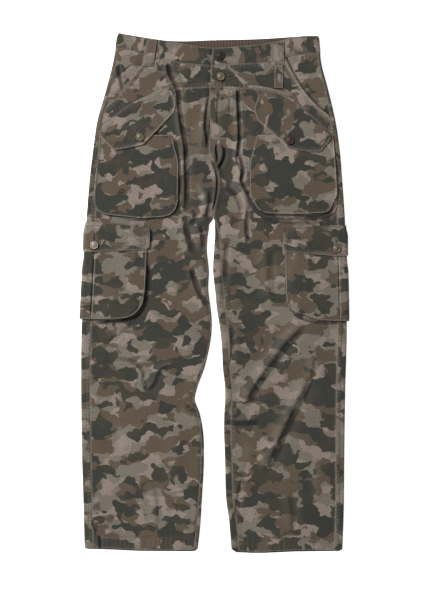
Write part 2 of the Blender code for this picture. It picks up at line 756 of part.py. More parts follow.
def sewn_piece(name, outline, tied, loose, spread, lay):
    """Makes one cloth wall: a cut pattern, laid by the function lay, closed round its edge."""
    pattern, faces = triangulated(inset(outline, SEAM_GAP / 2), tied, loose, spread)
    outer, inner = lay(pattern[:, 0], pattern[:, 1])
    count = len(pattern)
    points = np.vstack([outer, inner]) * MM
    seen = set()
    for face in faces:
        seen.update((int(i), int(j)) for i, j in zip(face, np.roll(face, -1)))
    walls = [tuple(int(i) for i in face) for face in faces]
    walls += [tuple(int(i) + count for i in face[::-1]) for face in faces]
    walls += [(j, i, i + count, j + count) for i, j in sorted(seen) if (j, i) not in seen]
    mesh = bpy.data.meshes.new(name)
    mesh.from_pydata([tuple(point) for point in points], [], walls)
    solid = bmesh.new()
    solid.from_mesh(mesh)
    if solid.calc_volume(signed=True) < 0:
        bmesh.ops.reverse_faces(solid, faces=solid.faces)
    solid.to_mesh(mesh)
    solid.free()
    return new_object(name, mesh, "camo_cloth")


# Lines that the pieces of a leg share

def fold_lines(side):
    """The valley and the two crests of each fold."""
    lines = []
    for fold in FOLDS:
        line = FOLD_LINES[fold.name]
        run = np.gradient(line, axis=0)
        normal = np.stack([-run[:, 1], run[:, 0]], axis=1)
        normal /= np.hypot(normal[:, 0], normal[:, 1])[:, None]
        lines.append(on_front(side, line))
        for ridge, way in ((fold.ridge_b, 1.0), (fold.ridge_a, -1.0)):
            if ridge or fold.depth < 0:
                reach = 1.7 if fold.depth > 0 else 0.8
                lines.append(on_front(side, line + normal * way * reach * fold.reach))
    return lines


def turning_lines(side, low, high):
    """Lines along a leg's side fold, and along its inner fold below the crotch."""
    heights = LEVELS[(LEVELS > low) & (LEVELS < high)]
    lines = [np.stack([fold_place(side, share, heights), heights], axis=1) for share in TURNS]
    heights = heights[heights < CROTCH_Y - 6]
    if len(heights):
        lines += [np.stack([inner_place(side, share, heights), heights], axis=1) for share in TURNS]
    return lines


def lift_lines(side):
    """Where the back starts to rise, under the waist and round the cargo pocket."""
    cargo = CARGO[side.name]
    lines = []
    for y in (412, 429, 446):
        for a in (np.arange(12, 220, 34), np.arange(-226, -20, 26)):
            lines.append(np.stack([a, np.full(len(a), y)], axis=1))
    steps = (cargo.bottom_y - 30, cargo.bottom_y - 4, cargo.flap_bottom - 30, cargo.flap_bottom - 2,
             cargo.flap_top + 4, cargo.flap_top + 32)
    for y in steps:
        for a in (np.arange(16, 120, 24), -math.pi * LEG_SIDE / 2 - np.arange(28, 120, 24)):
            lines.append(np.stack([a, np.full(len(a), y)], axis=1))
    y = np.arange(steps[0], steps[-1], 26)
    for reach in (92, 92 + LIFT_RAMP):
        lines.append(np.stack([np.full(len(y), reach - LEG_SIDE / 2), y], axis=1))
    return lines


def patch_outlines(side):
    """Outlines of the patch pockets and flaps of a leg, as pattern places."""
    cargo = CARGO[side.name]
    middle = cargo_middle(side)
    low, high = middle - cargo.half_width, middle + cargo.half_width
    pocket = rounded((
        Corner(low, cargo.mouth_y, 4), Corner(low, cargo.bottom_y, cargo.corner),
        Corner(high, cargo.bottom_y, cargo.corner), Corner(high, cargo.mouth_y, 4)), PATCH_STEP)
    low, high = middle - cargo.flap_half, middle + cargo.flap_half
    flap = rounded((
        Corner(low, cargo.flap_end_top, 3), Corner(low, cargo.flap_end_bottom, 5),
        Corner(middle, cargo.flap_bottom, 60), Corner(high, cargo.flap_end_bottom, 5),
        Corner(high, cargo.flap_end_top, 3), Corner(middle, cargo.flap_top, 60)), PATCH_STEP)
    folds = [lambda y, share=share: fold_place(side, share, y) for share in TURNS]
    folds.append(lambda y: seam_place(side, y))
    outlines = {"cargo_pocket": crossed(pocket, folds), "cargo_flap": crossed(flap, folds)}
    for name, table in (("hip_pocket", HIP_POCKET), ("hip_flap", HIP_FLAP)):
        outline = on_front(side, rounded(table[side.name], PATCH_STEP))
        outlines[name] = crossed(outline, folds[-1:])
    return outlines


def ring(outline, distance):
    """A closed line inside an outline."""
    line = inset(outline, distance)
    return np.vstack([line, line[:1]])


def pleat_lines(side):
    """The middle pleat of a cargo pocket and its two shoulders."""
    cargo = CARGO[side.name]
    y = np.linspace(cargo.mouth_y, cargo.bottom_y, 9)
    return [
        np.stack([np.full(len(y), cargo_middle(side) + shift), y], axis=1)
        for shift in (-PLEAT_REACH, 0, PLEAT_REACH)]


def cargo_middle(side):
    """Pattern place of a cargo pocket's middle pleat."""
    radius = LEG_SIDE / 2
    return -(math.pi * radius + CARGO[side.name].middle - radius)


Net = namedtuple("Net", "tied panel patch outlines")


def leg_net(side):
    """The lines that every piece of a leg is cut with."""
    tied = turning_lines(side, -505, 480)
    y = LEVELS[(LEVELS > -505) & (LEVELS < 470)]
    tied.append(np.stack([seam_place(side, y), y], axis=1))
    outlines = patch_outlines(side)
    closed = [np.vstack([outline, outline[:1]]) for outline in outlines.values()]
    panel, taken = thinned(closed + lift_lines(side) + fold_lines(side), np.vstack(tied))
    rings = [ring(outlines[name], GUSSET_WIDTH) for name in ("cargo_pocket", "hip_pocket")]
    patch, taken = thinned(rings + pleat_lines(side), taken)
    return Net(tied, panel, panel + patch, outlines)


# Pieces of the front

def slant_side(side, x, y):
    """How far a point is from the slanted pocket opening, towards the side seam."""
    gap, way, _, _ = nearest_on(drawn(SLANT[side.name], SEAM_STEP), x, y)
    return gap * way * side.sign


def fly_drop(x, y, step):
    """How far a right-hand piece dips to pass under the fly."""
    fade = ease((y - FLY_END_Y + 22) / 16)
    return step * ease((x - fly_edge(y) + 9) / 8) * fade


def fly_curves():
    """Places a(y) where the right-hand pieces dip under the fly."""
    return [lambda y, shift=shift: across_side(RIGHT, fly_edge(y) + shift, y) for shift in (-9.5, -0.8)]


def fly_lines():
    """The same as lines of points."""
    y = np.arange(290, 520, 14.0)
    return [np.stack([curve(y), y], axis=1) for curve in fly_curves()]


def under_fly(side, a, y, step):
    """The dip of a right-hand piece at a pattern place of the front."""
    if side is LEFT:
        return 0.0
    return fly_drop(plan_x(side, a, y), y, step) * (a < -math.pi * side_radius(y))


def panel(name, side, net, outline, spread, step=FLY_STEP, loose=()):
    """Cuts and lays a piece that is part of the leg's own wall."""
    if loose:
        outline = crossed(outline, fly_curves())
    return sewn_piece(
        f"{name}_{side.name}", outline, net.tied, [*loose, *net.panel], spread,
        lambda a, y: laid(side, a, y, -under_fly(side, a, y, step), CLOTH))


def yoke_end(side):
    """Where the yoke's lower seam meets the side seam."""
    line = on_front(side, drawn(YOKE_SEAM[side.name], SEAM_STEP))
    return line, meeting(lambda y: seam_place(side, y), line, 420, 250)


def front_panel(side, net):
    """Front of a leg, from the yoke seam to the hem."""
    line, end_y = yoke_end(side)
    fly_a = across_side(side, fly_edge(412) + (FLY_UNDERLAP if side is RIGHT else 0), 412)
    top = between(line, fly_a, seam_place(side, end_y))
    hem = hem_line(side)
    low_y = hem_y(hem, seam_place(side, -512))
    outer = down(lambda y: seam_place(side, y), end_y, low_y)
    start_y = CROTCH_Y - 4
    low_y = hem_y(hem, front_inseam(side, -512.0))
    inner = down(lambda y: front_inseam(side, y), start_y, low_y)[::-1]
    bottom = between(hem, outer[-1, 0], inner[0, 0])[1:-1]
    rise = on_front(side, drawn(RISE_SEAM, SEAM_STEP)[::-1])
    fly_y = np.linspace(RISE_SEAM[0].y, 412, 9)[1:-1]
    shift = FLY_UNDERLAP if side is RIGHT else 0
    fly = on_front(side, np.stack([fly_edge(fly_y) + shift, fly_y], axis=1))
    outline = np.vstack([top, outer[1:], bottom, inner, rise, fly])
    loose = fly_lines() if side is RIGHT else ()
    return panel("front", side, net, outline, PANEL_SPREAD, loose=loose)


def hem_y(line, place):
    """Height of the hem at a place round the leg."""
    return float(np.interp(place, line[:, 0], line[:, 1]))


def opening_line(side):
    """The slanted pocket opening, as pattern places from the waist to the side seam."""
    line = on_front(side, drawn(SLANT[side.name], SEAM_STEP))
    waist = waist_line(side)
    top = meeting(lambda y: np.interp(-y, -line[:, 1], line[:, 0]), waist, 490, 440)
    end = meeting(lambda y: seam_place(side, y), line, 420, 250)
    own = line[(line[:, 1] < top - 3) & (line[:, 1] > end + 3)]
    first = (np.interp(-top, -line[:, 1], line[:, 0]), top)
    return np.vstack([[first], own, [(seam_place(side, end), end)]])


def yoke(side, net):
    """Yoke between the waistband and the front, cut away along the slanted pocket."""
    opening = opening_line(side)
    line, end_y = yoke_end(side)
    shift = FLY_UNDERLAP if side is RIGHT else 0
    top = between(waist_line(side), across_side(side, fly_edge(455) + shift, 455), opening[0, 0])
    fly_a = across_side(side, fly_edge(412) + shift, 412)
    bottom = between(line, seam_place(side, end_y), fly_a)
    outline = np.vstack([top, opening[1:], bottom])
    loose = fly_lines() if side is RIGHT else ()
    return panel("yoke", side, net, outline, PATCH_SPREAD, loose=loose)


def pocket_facing(side, net):
    """Hip cloth that shows inside the slanted opening, running under the yoke's edge."""
    opening = opening_line(side)
    run = np.gradient(opening, axis=0)
    normal = np.stack([-run[:, 1], run[:, 0]], axis=1)
    normal /= np.hypot(normal[:, 0], normal[:, 1])[:, None]
    normal *= -np.sign(np.sum(normal[:, 0]))
    tucked = opening + normal * FACING_UNDER
    waist = waist_line(side)
    tucked = tucked[tucked[:, 1] < np.interp(tucked[:, 0], waist[:, 0], waist[:, 1]) - 3]
    end_y = opening[-1, 1] - 7
    tucked = tucked[tucked[:, 1] > end_y + 4]
    start_a = np.interp(-tucked[0, 1] - 6, -tucked[:, 1], tucked[:, 0])
    top_y = meeting(lambda y: seam_place(side, y), waist, 500, 440)
    outer = down(lambda y: seam_place(side, y), top_y, end_y)[::-1]
    top = between(waist, outer[-1, 0], start_a)[1:]
    outline = np.vstack([tucked, outer, top])

    def lay(a, y):
        depth = FACING_STEP * (1 - ease((slant_side(side, plan_x(side, a, y), y) - 1.5) / 14))
        return laid(side, a, y, -depth, CLOTH)

    lines = [opening - normal * shift for shift in (1.2, 8, 15.8)]
    return sewn_piece(f"pocket_facing_{side.name}", outline, [], lines, PATCH_SPREAD, lay)


def waistband(side, net):
    """Half of the waistband: from the fly round the side fold to the middle of the back."""
    low = waist_line(side)
    high = round_the_side(side, FRONT_WAIST_TOP, BACK_WAIST_TOP)
    shift = BAND_UNDERLAP if side is RIGHT else 0
    start_y, end_y = 489.5, 455.0
    start = across_side(side, fly_edge(start_y) + shift, start_y)
    end = across_side(side, fly_edge(end_y) + shift, end_y)
    outline = np.vstack([between(high, start, high[-1, 0]), between(low, low[-1, 0], end)])
    if side is RIGHT:
        outline = crossed(outline, fly_curves())

    def lay(a, y):
        proud = BAND_PROUD * ease(-a / (math.pi * HIP_SIDE / 2))
        return laid(side, a, y, proud - under_fly(side, a, y, BAND_STEP), BAND_CLOTH)

    y = np.array([492.0, 480.0])
    turning = [np.stack([fold_place(side, share, y), y], axis=1) for share in TURNS]
    loose = fly_lines() if side is RIGHT else []
    loose = loose + [line for line in net.panel if len(line) and line[:, 1].max() > 440]
    return sewn_piece(f"waistband_{side.name}", outline, turning, loose, PATCH_SPREAD, lay)


# The back

def back_panel(side, net):
    """Back of a leg, which comes round both sides onto the front."""
    waist = waist_line(side)
    top_y = meeting(lambda y: seam_place(side, y), waist, 500, 440)
    hem = hem_line(side)
    outer = down(lambda y: seam_place(side, y), top_y, hem_y(hem, seam_place(side, -512)))
    low_y = hem_y(hem, back_inseam(side, -512.0))
    inner = down(lambda y: back_inseam(side, y), CROTCH_Y - 4, low_y)[::-1]
    bottom = between(hem, outer[-1, 0], inner[0, 0])[1:-1]
    crotch = on_back(side, [(-2 + side.sign * (CROTCH_FOLD + 0.3), CROTCH_Y)])
    middle_y = np.linspace(CROTCH_Y + 15, waist[-1, 1], 12)[:-1]
    middle = on_back(side, np.stack([np.zeros(len(middle_y)), middle_y], axis=1))
    top = between(waist, waist[-1, 0], outer[0, 0])
    outline = np.vstack([outer, bottom, inner, crotch, middle, top[:-1]])
    return panel("back", side, net, outline, BACK_SPREAD)


# Pockets and flaps

def bellows(outline, a, y, height):
    """Height of a patch pocket: sewn down at its border, standing proud inside its gusset."""
    gap = edge_distance(outline, np.stack([a, y], axis=1))
    return SEAT + POCKET_CLOTH + (height - SEAT - POCKET_CLOTH) * ease(gap / GUSSET_WIDTH)


def patch(name, side, net, height, cloth):
    """Cuts and lays a pocket or flap on the leg."""
    return sewn_piece(
        f"{name}_{side.name}", net.outlines[name], net.tied, net.patch, PATCH_SPREAD,
        lambda a, y: laid(side, a, y, height(a, y), cloth))


def hip_pocket_height(side, net, a, y):
    """Rounded patch pocket on the front of the hip."""
    full = HIP_POCKET_MOUTH + (HIP_POCKET_HEIGHT - HIP_POCKET_MOUTH) * ease((276 - y) / 36)
    return bellows(net.outlines["hip_pocket"], a, y, full)


def hip_flap_height(y):
    """A hip flap rests on the front panel above the pocket's mouth and on the pocket below it."""
    return FLAP_SEAT + (FLAP_OVER - FLAP_SEAT) * ease((345 - y) / 28)


def back_share(a):
    """0 on the front and the outer half of the side fold, rising to 1 at the back."""
    return ease(2 * a / (math.pi * LEG_SIDE / 2) + 1)


def cargo_pocket_height(side, net, a, y):
    """Bellows pocket that wraps the side of the leg, pleated down its middle."""
    cargo = CARGO[side.name]
    full = CARGO_MOUTH + (CARGO_HEIGHT - CARGO_MOUTH) * ease((cargo.flap_bottom - 6 - y) / 28)
    full = full + (CARGO_BACK - full) * back_share(a)
    height = bellows(net.outlines["cargo_pocket"], a, y, full)
    pleat = PLEAT_DEPTH * ease(1 - np.abs(a - cargo_middle(side)) / PLEAT_REACH)
    return height - pleat * ease((height - 3) / 2)


def cargo_flap_height(side, a, y):
    """A cargo flap is seated at its top seam and passes over the pocket's mouth."""
    ahead = FLAP_SEAT + (FLAP_OVER - FLAP_SEAT) * ease((CARGO[side.name].flap_top - 3 - y) / 20)
    return ahead + (FLAP_BACK - ahead) * back_share(a)


# Loops and tab

def strip_outline(strip):
    """The four sides of a narrow strip, with points along them."""
    top = np.array([strip.top_x, strip.top_y])
    bottom = np.array([strip.bottom_x, strip.bottom_y])
    half = np.array([strip.width / 2, 0])
    steps = np.linspace(0, 1, 7)[:, None]
    left = (top - half) + (bottom - top) * steps
    right = (bottom + half) + (top - bottom) * steps
    return np.vstack([left, right])


def arch(y, strip):
    """Height of a loop's bow between its two sewn ends."""
    share = (strip.top_y - y) / (strip.top_y - strip.bottom_y)
    return LOOP_ARCH * np.clip(4 * share * (1 - share), 0, 1)


def front_strip(name, side, strip, seat):
    """A narrow strip that lies on the front."""
    outline = on_front(side, strip_outline(strip))
    return sewn_piece(
        name, outline, [], [], PATCH_SPREAD, lambda a, y: laid(side, a, y, seat(a, y), LOOP_CLOTH))


def front_loop(side):
    """Belt loop over the front of the waistband, sewn down below it."""
    strip = FRONT_LOOPS[side.name]
    waist = waist_line(side)

    def seat(a, y):
        on_band = ease((y - np.interp(a, waist[:, 0], waist[:, 1]) + 6) / 6)
        return LAYER_GAP + LOOP_CLOTH + (BAND_PROUD + arch(y, strip)) * on_band

    return front_strip(f"belt_loop_front_{side.name}", side, strip, seat)


def back_loop(name):
    """Belt loop on the back of the waistband, which the garment lies on."""
    strip = BACK_LOOPS[name]

    def lay(x, y):
        sewn = WAIST_LIFT - LOOP_CLOTH - LAYER_GAP
        z = sewn * (1 - arch(y, strip) / LOOP_ARCH)
        return np.stack([x, y, z], axis=-1), np.stack([x, y, z + LOOP_CLOTH], axis=-1)

    return sewn_piece(f"belt_loop_back_{name}", strip_outline(strip), [], [], PATCH_SPREAD, lay)


# Buttons

def button_seat(name, side, at):
    """Height of what a button sits on, the highest under its base."""
    turn = np.linspace(0, 2 * math.pi, 13)
    x = np.concatenate([[at.x], at.x + BUTTON_RADIUS * np.cos(turn)])
    y = np.concatenate([[at.y], at.y + BUTTON_RADIUS * np.sin(turn)])
    a = across_side(side, x, y)
    if "cargo" in name:
        height = cargo_flap_height(side, a, y)
    elif "hip" in name:
        height = hip_flap_height(y)
    else:
        height = BAND_PROUD if "waist" in name else 0.0
    return float(np.max(laid(side, a, y, height, FLAP_CLOTH)[0][:, 2]))


def button(name, at):
    """Domed metal button with a rolled rim."""
    side = RIGHT if at.x < 0 else LEFT
    base = button_seat(name, side, at) + LAYER_GAP
    profile = ((0.78, 0.0), (1.0, 0.22), (1.0, 0.45), (0.86, 0.68), (0.55, 0.9))
    around = [2 * math.pi * k / BUTTON_SIDES for k in range(BUTTON_SIDES)]
    points = [
        (at.x + BUTTON_RADIUS * share * math.cos(turn), at.y + BUTTON_RADIUS * share * math.sin(turn),
         base + BUTTON_RISE * rise)
        for share, rise in profile for turn in around]
    points.append((at.x, at.y, base + BUTTON_RISE))
    faces = [tuple(range(BUTTON_SIDES))[::-1]]
    for level in range(len(profile) - 1):
        for k in range(BUTTON_SIDES):
            here = level * BUTTON_SIDES + k
            beside = level * BUTTON_SIDES + (k + 1) % BUTTON_SIDES
            faces.append((here, beside, beside + BUTTON_SIDES, here + BUTTON_SIDES))
    last = (len(profile) - 1) * BUTTON_SIDES
    for k in range(BUTTON_SIDES):
        faces.append((last + k, last + (k + 1) % BUTTON_SIDES, len(points) - 1))
    mesh = bpy.data.meshes.new(name)
    mesh.from_pydata([tuple(value * MM for value in point) for point in points], [], faces)
    return new_object(name, mesh, "bronze_button")


for old in list(bpy.data.objects):
    bpy.data.objects.remove(old)
garment = bpy.data.objects.new("cargo_pants", None)
bpy.context.scene.collection.objects.link(garment)

for leg in SIDES:
    leg_lines = leg_net(leg)
    back_panel(leg, leg_lines)
    front_panel(leg, leg_lines)
    yoke(leg, leg_lines)
    pocket_facing(leg, leg_lines)
    waistband(leg, leg_lines)
    patch("hip_pocket", leg, leg_lines,
          lambda a, y: hip_pocket_height(leg, leg_lines, a, y), POCKET_CLOTH)
    patch("hip_flap", leg, leg_lines, lambda a, y: hip_flap_height(y), FLAP_CLOTH)
    patch("cargo_pocket", leg, leg_lines,
          lambda a, y: cargo_pocket_height(leg, leg_lines, a, y), POCKET_CLOTH)
    patch("cargo_flap", leg, leg_lines, lambda a, y: cargo_flap_height(leg, a, y), FLAP_CLOTH)
    front_loop(leg)
front_strip("yoke_tab_left", LEFT, YOKE_TAB, lambda a, y: LAYER_GAP + LOOP_CLOTH)
for loop_name in BACK_LOOPS:
    back_loop(loop_name)
for button_name, button_place in BUTTONS.items():
    button(button_name, button_place)

# The origin is under the middle of the garment
spans = []
for piece in garment.children:
    spans += [np.array(corner) + np.array(piece.location) for corner in piece.bound_box]
middle = (np.min(spans, axis=0) + np.max(spans, axis=0)) / 2
for piece in garment.children:
    piece.location = piece.location - Vector((middle[0], middle[1], 0.0))
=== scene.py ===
# %% [markdown]
# # Camouflage cargo pants, laid flat with the front up
#
# These are loose straight-leg pants in a washed cotton twill. They lie on their back on a pale
# floor, front up, the two legs a little uneven, as clothes do that were smoothed out by hand.
#
# The solids from the construction step already have the right size and the right pieces. Here
# each of them gets a finer shell of the same form, with soft folds, worn seams, thread and a
# printed pattern. We start by loading the solids and measuring their box, and write two helpers
# that put things in the scene.

# %% Load the solids
import math
from collections import namedtuple

import bmesh
import bpy
import numpy as np
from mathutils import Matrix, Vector
from mathutils.geometry import delaunay_2d_cdt
from mathutils.kdtree import KDTree


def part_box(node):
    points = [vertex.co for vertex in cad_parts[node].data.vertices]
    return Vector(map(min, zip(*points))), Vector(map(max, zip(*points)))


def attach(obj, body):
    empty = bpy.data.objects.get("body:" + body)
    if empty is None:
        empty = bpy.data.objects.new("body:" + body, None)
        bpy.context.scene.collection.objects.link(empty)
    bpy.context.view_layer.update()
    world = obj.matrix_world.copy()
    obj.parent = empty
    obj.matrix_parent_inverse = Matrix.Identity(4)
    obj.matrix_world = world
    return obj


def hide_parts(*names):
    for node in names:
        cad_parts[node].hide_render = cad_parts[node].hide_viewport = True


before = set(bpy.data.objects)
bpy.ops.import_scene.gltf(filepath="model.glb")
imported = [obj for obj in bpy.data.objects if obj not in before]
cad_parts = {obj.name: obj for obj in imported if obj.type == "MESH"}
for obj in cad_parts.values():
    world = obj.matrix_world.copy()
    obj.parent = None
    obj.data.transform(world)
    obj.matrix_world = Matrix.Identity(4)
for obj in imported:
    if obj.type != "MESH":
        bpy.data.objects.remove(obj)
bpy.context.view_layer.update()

# %% Put things in the scene
pieces = []


def placed(name, data):
    """A new object in the scene."""
    thing = bpy.data.objects.new(name, data)
    bpy.context.scene.collection.objects.link(thing)
    return thing


def part_piece(name, mesh, stands_for=None):
    """A piece of the pants. It rides on their one body and may stand for a solid."""
    piece = placed(name, mesh)
    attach(piece, "root")
    if stands_for:
        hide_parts(stands_for)
    pieces.append(piece)
    return piece


print("pieces so far:", len(pieces))

# %% [markdown]
# ## Units and cloth
#
# A pattern cutter works in millimetres, so every table below does too, and only the finished
# mesh is scaled to metres. X runs across the garment with the wearer's right leg at -X, Y runs
# up from the hems to the waist, and Z is the height above the floor.

# %% Cloth, thread and button sizes
MM = 0.001
CLOTH = 1.5
POCKET_CLOTH = 1.3
FLAP_CLOTH = 1.9
BAND_CLOTH = 2.2
LOOP_CLOTH = 1.2
SEAM_GAP = 0.3
LAYER_GAP = 0.6

DENSE = 2.4       # spacing of the points on pockets and flaps
CLOSE = 2.6       # on yokes, facings and the waistband
FINE = 3.0        # on the front of the legs
COARSE = 6.5      # and on the back, which the garment lies on
LINE_STEP = 3.0   # spacing of the points along an outline
EDGE_STEP = 0.6   # the same where distances to the outline are measured

Side = namedtuple("Side", "name sign")
RIGHT = Side("right", -1)
LEFT = Side("left", 1)
SIDES = (RIGHT, LEFT)


def side_of(name):
    """The side that a piece's name ends with."""
    return LEFT if name.endswith("left") else RIGHT


print("cloth", CLOTH, "mm, points every", FINE, "mm")

# %% [markdown]
# ## The outline and the seams
#
# A trouser leg that lies flat is a tube pressed to two layers. Its outline is described best by
# a row of numbers at each height: how far out the outer side lies and how far in the inner one.
# Seams that run across the garment are short lists of places instead. A smooth curve through
# them gives as many points as a mesh needs, so the tables stay short enough to read and change.

# %% Outline of the two legs
# Rows of y, and of a value at that height on the right leg and on the left
OUTER_EDGE = (
    (519, -191.5, 205.5), (514, -193.5, 207.5), (489, -198, 211), (465, -202, 213),
    (405, -217, 228), (345, -234, 242), (285, -243, 251), (225, -250, 256), (145, -256, 261),
    (85, -258, 262), (5, -262, 264), (-75, -266, 265), (-195, -267, 262), (-335, -265, 260),
    (-435, -262, 259), (-519, -260, 256),
)
CROTCH_X, CROTCH_Y = -2.0, 145.0
INNER_EDGE = (
    (CROTCH_Y, -2.2, -1.8), (141, -6.8, -0.5), (125, -11, 1), (85, -15, -1), (45, -11, -3),
    (5, -12, 1), (-35, -7, 5), (-65, -5, 10), (-115, -11, 15), (-155, -21, 17), (-190, -34, 21),
    (-214, -39, 21), (-240, -30, 19.5), (-275, -23, 19), (-335, -21, 21), (-415, -25, 23.5),
    (-465, -28, 30), (-519, -34, 34),
)
# How far the back comes round onto the front, at the side seam and at the inseam
SIDE_SEAM = (
    (519, 2, 2), (405, 4, 3), (345, 6, 6), (285, 9, 8), (225, 12, 10), (100, 14, 13),
    (-519, 14, 13),
)
INSEAM = (
    (CROTCH_Y, 0.5, 1), (95, 1, 9), (-150, 1, 11), (-300, 3, 11), (-519, 6, 12),
)
print("rows of the outline:", len(OUTER_EDGE), "outside and", len(INNER_EDGE), "inside")

# %% Seams across the garment
WAIST_SEAM = (
    (-199, 489), (-159, 481), (-129, 471), (-89, 462), (-49, 456), (-7, 453), (35, 455),
    (71, 457), (121, 462), (150, 472), (175, 475), (213, 478))
FRONT_WAIST_TOP = (
    (-193, 518.5), (-159, 513), (-129, 508), (-89, 502), (-59, 496), (-29, 491), (-3, 489),
    (51, 492), (91, 496), (121, 501), (139, 505), (171, 512), (205, 513))
BACK_WAIST_TOP = (
    (-193, 518), (-140, 509), (-75, 503), (0, 505), (85, 507), (130, 509.5), (175, 512.5),
    (207, 513))
BACK_WAIST_SEAM = (
    (-199, 487), (-150, 474), (-75, 467), (0, 466), (75, 468), (150, 473), (211, 478))
YOKE_SEAM = {
    RIGHT: ((-9, 412), (-39, 410), (-69, 410), (-92, 413), (-130, 396), (-169, 376),
            (-197, 356), (-231, 330)),
    LEFT: ((-9, 412), (35, 411), (71, 408), (95, 405), (144, 391), (171, 372), (201, 347),
           (238, 314)),
}
SLANT = {
    RIGHT: ((-140, 478), (-148, 450), (-160, 433), (-181, 404), (-200, 384), (-226, 360)),
    LEFT: ((140, 474), (146, 461), (164, 428), (191, 389), (207, 373), (236, 349)),
}
FLY_EDGE = (
    (-3, 490), (-3, 476), (-7, 460), (-6, 444), (-9, 415), (-10, 366), (-9, 330), (-10, 306))
RISE_SEAM = (
    (-10, 306), (-9, 288), (-5, 262), (1, 243), (5.5, 228), (5.5, 213), (2.5, 188),
    (-0.5, 168), (-2, CROTCH_Y + 2.5))
HEM = {
    RIGHT: ((-262, -505), (-259, -509), (-253, -511), (-225, -511.5), (-150, -515),
            (-44, -515.5), (-37, -514), (-33, -509)),
    LEFT: ((30, -503), (32, -508), (36, -513), (44, -517.5), (75, -519), (100, -519),
           (165, -516), (250, -515), (256, -511)),
}
HEM_Y = -512.0                                          # about where both hems lie
FLY_YOKE_Y, FLY_WAIST_Y, FLY_TOP_Y = 412, 455, 489.5    # where seams and top meet the fly
print("waist seam from", WAIST_SEAM[0], "to", WAIST_SEAM[-1])

# %% [markdown]
# ## Curves through short tables
#
# Blender has curve objects, but here the curves are only rulers: other things are measured from
# them. A cubic between table values, level beyond the ends, is enough, and numpy evaluates it
# for thousands of points at once. `nearest_on` answers what most of the modelling asks: how far
# is this point from that line, on which side, and how far along it.

# %% Smooth functions
def ease(t):
    """Rises smoothly from 0 to 1 as t does."""
    t = np.clip(t, 0.0, 1.0)
    return t * t * (3 - 2 * t)


def bell(t):
    """1 at zero, and falls smoothly to almost nothing at two, either way."""
    return np.exp(-t ** 2)


def through(knots, values):
    """A smooth function through a table's values, level beyond its ends."""
    order = np.argsort(knots)
    knots = np.array(knots, float)[order]
    values = np.array(values, float)[order]
    slopes = np.gradient(values, knots)

    def at(t):
        t = np.clip(np.asarray(t, float), knots[0], knots[-1])
        i = np.clip(np.searchsorted(knots, t, side="right") - 1, 0, len(knots) - 2)
        span = knots[i + 1] - knots[i]
        u = (t - knots[i]) / span
        start = (1 + 2 * u) * (1 - u) ** 2 * values[i] + u * (1 - u) ** 2 * span * slopes[i]
        end = u * u * (3 - 2 * u) * values[i + 1] - u * u * (1 - u) * span * slopes[i + 1]
        return start + end

    return at


def by_height(rows):
    """For each side, a smooth function of y through a table of rows."""
    y, *values = zip(*rows)
    return {side: through(y, own) for side, own in zip(SIDES, values)}


waist_y = through([place[0] for place in WAIST_SEAM], [place[1] for place in WAIST_SEAM])
print("the waist seam's height over the fly:", waist_y(-7.0))


# %% Lines
def paired(x, y):
    """Points from their two coordinates."""
    return np.stack([x, y], axis=1)


def run_along(line):
    """How far along a line each of its points is."""
    return np.concatenate([[0], np.cumsum(np.hypot(*np.diff(line, axis=0).T))])


def drawn(places, step=LINE_STEP):
    """Points along a smooth line through its places, about one step apart."""
    places = np.array(places, float)
    run = run_along(places)
    at = np.linspace(0, run[-1], max(2, int(round(run[-1] / step)) + 1))
    return paired(through(run, places[:, 0])(at), through(run, places[:, 1])(at))


def resampled(line, step):
    """A line with a point at every step along it."""
    run = run_along(line)
    at = np.linspace(0, run[-1], max(2, int(run[-1] / step) + 1))
    return paired(np.interp(at, run, line[:, 0]), np.interp(at, run, line[:, 1]))


def ring(outline):
    """A closed outline with its first point again at the end."""
    return np.vstack([outline, outline[:1]])


def left_of(steps):
    """Unit vectors to the left of steps."""
    return paired(-steps[:, 1], steps[:, 0]) / np.maximum(np.hypot(*steps.T), 1e-9)[:, None]


def normals(line):
    """For each point of a line, the unit vector to the left of its way."""
    return left_of(np.gradient(line, axis=0))


def beside(line, distance):
    """A line moved sideways, to the left of its way."""
    return line + normals(line) * distance


def nearest_on(line, x, y):
    """How far points are from a line, on which side of it (1 is left of its way), how far along
    it, and how long it is."""
    x, y = np.asarray(x, float), np.asarray(y, float)
    gap, way, along = np.full(x.shape, 1e9), np.ones(x.shape), np.zeros(x.shape)
    run = 0.0
    for start, end in zip(line[:-1], line[1:]):
        step = end - start
        length = max(math.hypot(*step), 1e-9)
        dx, dy = x - start[0], y - start[1]
        t = np.clip((dx * step[0] + dy * step[1]) / length ** 2, 0, 1)
        away = np.hypot(dx - t * step[0], dy - t * step[1])
        better = away < gap
        gap = np.where(better, away, gap)
        way = np.where(better, np.where(step[0] * dy - step[1] * dx >= 0, 1.0, -1.0), way)
        along = np.where(better, run + t * length, along)
        run += length
    return gap, way, along, run


test_line = drawn(WAIST_SEAM)
print("waist seam", round(run_along(test_line)[-1]), "mm long,", len(test_line), "points")

# %% The outline as functions of height
outer_edge = by_height(OUTER_EDGE)
inner_edge = by_height(INNER_EDGE)
side_seam = by_height(SIDE_SEAM)
inseam = by_height(INSEAM)
fly_edge = through([place[1] for place in FLY_EDGE], [place[0] for place in FLY_EDGE])
print("at y = 0 the legs reach", outer_edge[RIGHT](0), "and", outer_edge[LEFT](0))

